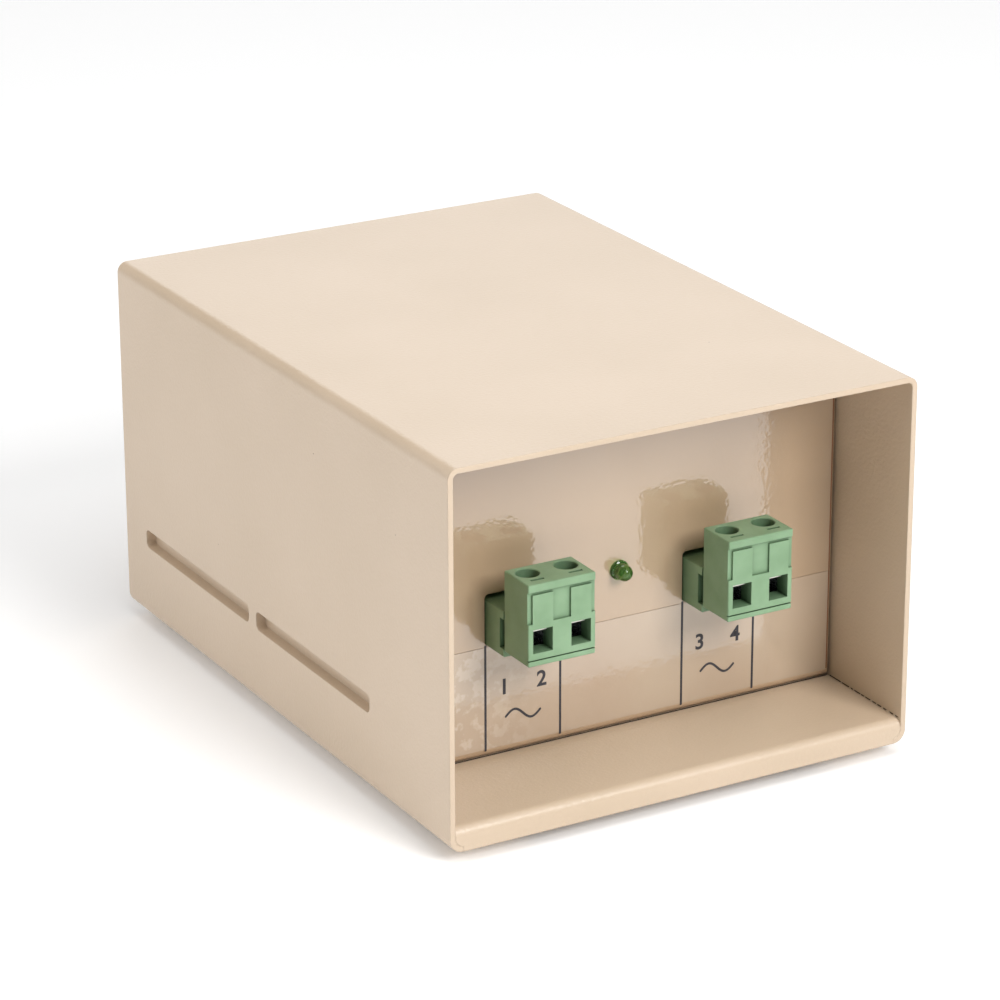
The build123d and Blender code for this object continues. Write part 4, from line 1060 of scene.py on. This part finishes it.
@dataclass
class Studio:
    """Pale floor, soft light and a long-lens camera.

    Attributes:
        camera_place: Where the camera stands.
        camera_turn: Its turn about X, Y and Z, in degrees.
        lens: Focal length in millimetres on a 36 mm frame.
        aim: Point that every light faces, the middle of the object.
        world_strength: Light from all round.
        floor_size: Width of the floor.
        floor_lift: Light that the paper gives off itself.
    """

    camera_place: Triple = (-0.34607, -0.60968, 0.30558)
    camera_turn: Triple = (69.0138, 0.146, -29.6204)
    lens: float = 145.47
    aim: Triple = (0.0, 0.0, 0.035)
    world_strength: float = 0.1
    floor_size: float = 12.0
    floor_lift: float = 0.1

    def build(self) -> None:
        """Makes the camera, the floor and the lights."""
        self._camera()
        self._floor()
        self._light("softbox_over", (0.0, -0.38, 1.22), 1.0, 8.6)
        self._light("softbox_back", (0.75, 1.2, 0.6), 1.0, 5.4)
        self._light("softbox_left", (-1.0, 0.32, 0.68), 1.3, 8.3)
        self._light("softbox_front", (0.25, -1.1, 0.76), 0.5, 13.2)
        scene = bpy.context.scene
        scene.world = scene.world or bpy.data.worlds.new("studio_world")
        scene.world.use_nodes = True
        background = scene.world.node_tree.nodes["Background"]
        background.inputs["Color"].default_value = linear("#ffffff")
        background.inputs["Strength"].default_value = self.world_strength
        scene.view_settings.view_transform = "Standard"

    def _camera(self) -> None:
        """Places the camera at the viewing angle of the reference."""
        data = bpy.data.cameras.new("camera")
        data.lens = self.lens
        data.sensor_width = 36.0
        camera = add_object("camera", data)
        camera.location = self.camera_place
        camera.rotation_euler = tuple(math.radians(turn) for turn in self.camera_turn)
        bpy.context.scene.camera = camera

    def _floor(self) -> None:
        """Lays the pale floor."""
        half = self.floor_size / 2
        mesh = bpy.data.meshes.new("studio_floor")
        mesh.from_pydata([(-half, -half, 0), (half, -half, 0), (half, half, 0), (-half, half, 0)], [], [(0, 1, 2, 3)])
        material = bpy.data.materials.new("matt_white_paper")
        material.use_nodes = True
        shader = material.node_tree.nodes["Principled BSDF"]
        shader.inputs["Base Color"].default_value = linear("#fbfbfb")
        shader.inputs["Roughness"].default_value = 0.9
        shader.inputs["Emission Color"].default_value = linear("#ffffff")
        shader.inputs["Emission Strength"].default_value = self.floor_lift
        mesh.materials.append(material)
        floor = add_object("studio_floor", mesh)

    def _light(self, name: str, place: Triple, size: float, watts: float) -> None:
        """Hangs one square softbox that faces the object."""
        data = bpy.data.lights.new(name, "AREA")
        data.shape = "SQUARE"
        data.size = size
        data.energy = watts
        light = add_object(name, data)
        light.location = place
        aim = Vector(self.aim) - Vector(place)
        light.rotation_euler = aim.to_track_quat("-Z", "Y").to_euler()


def main() -> None:
    """Builds the studio and every sub-assembly in order."""
    logging.basicConfig(level=logging.INFO, format="%(name)s %(message)s")
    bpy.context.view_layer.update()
    Studio().build()

    enclosure = Enclosure()
    enclosure.dress()
    enclosure.build_bridges()
    enclosure.build_joints()
    enclosure.build_fills()

    panel = PanelPrint()
    panel.dress()
    panel.build()

    for name in PLUG_NAMES:
        plug = TerminalPlug(name)
        plug.dress()
        plug.build_lips()
    Indicator().build()

    board = BoardAssembly()
    board.dress()
    board.build_bands()
    Transformer().dress()
    Underside().dress()


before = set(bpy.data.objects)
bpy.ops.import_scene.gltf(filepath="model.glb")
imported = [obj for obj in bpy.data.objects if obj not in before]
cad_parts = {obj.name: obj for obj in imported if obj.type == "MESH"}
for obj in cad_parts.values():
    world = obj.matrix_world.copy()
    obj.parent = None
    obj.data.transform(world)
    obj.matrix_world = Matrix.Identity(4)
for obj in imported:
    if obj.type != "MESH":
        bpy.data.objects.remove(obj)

if __name__ == "__main__":
    main()
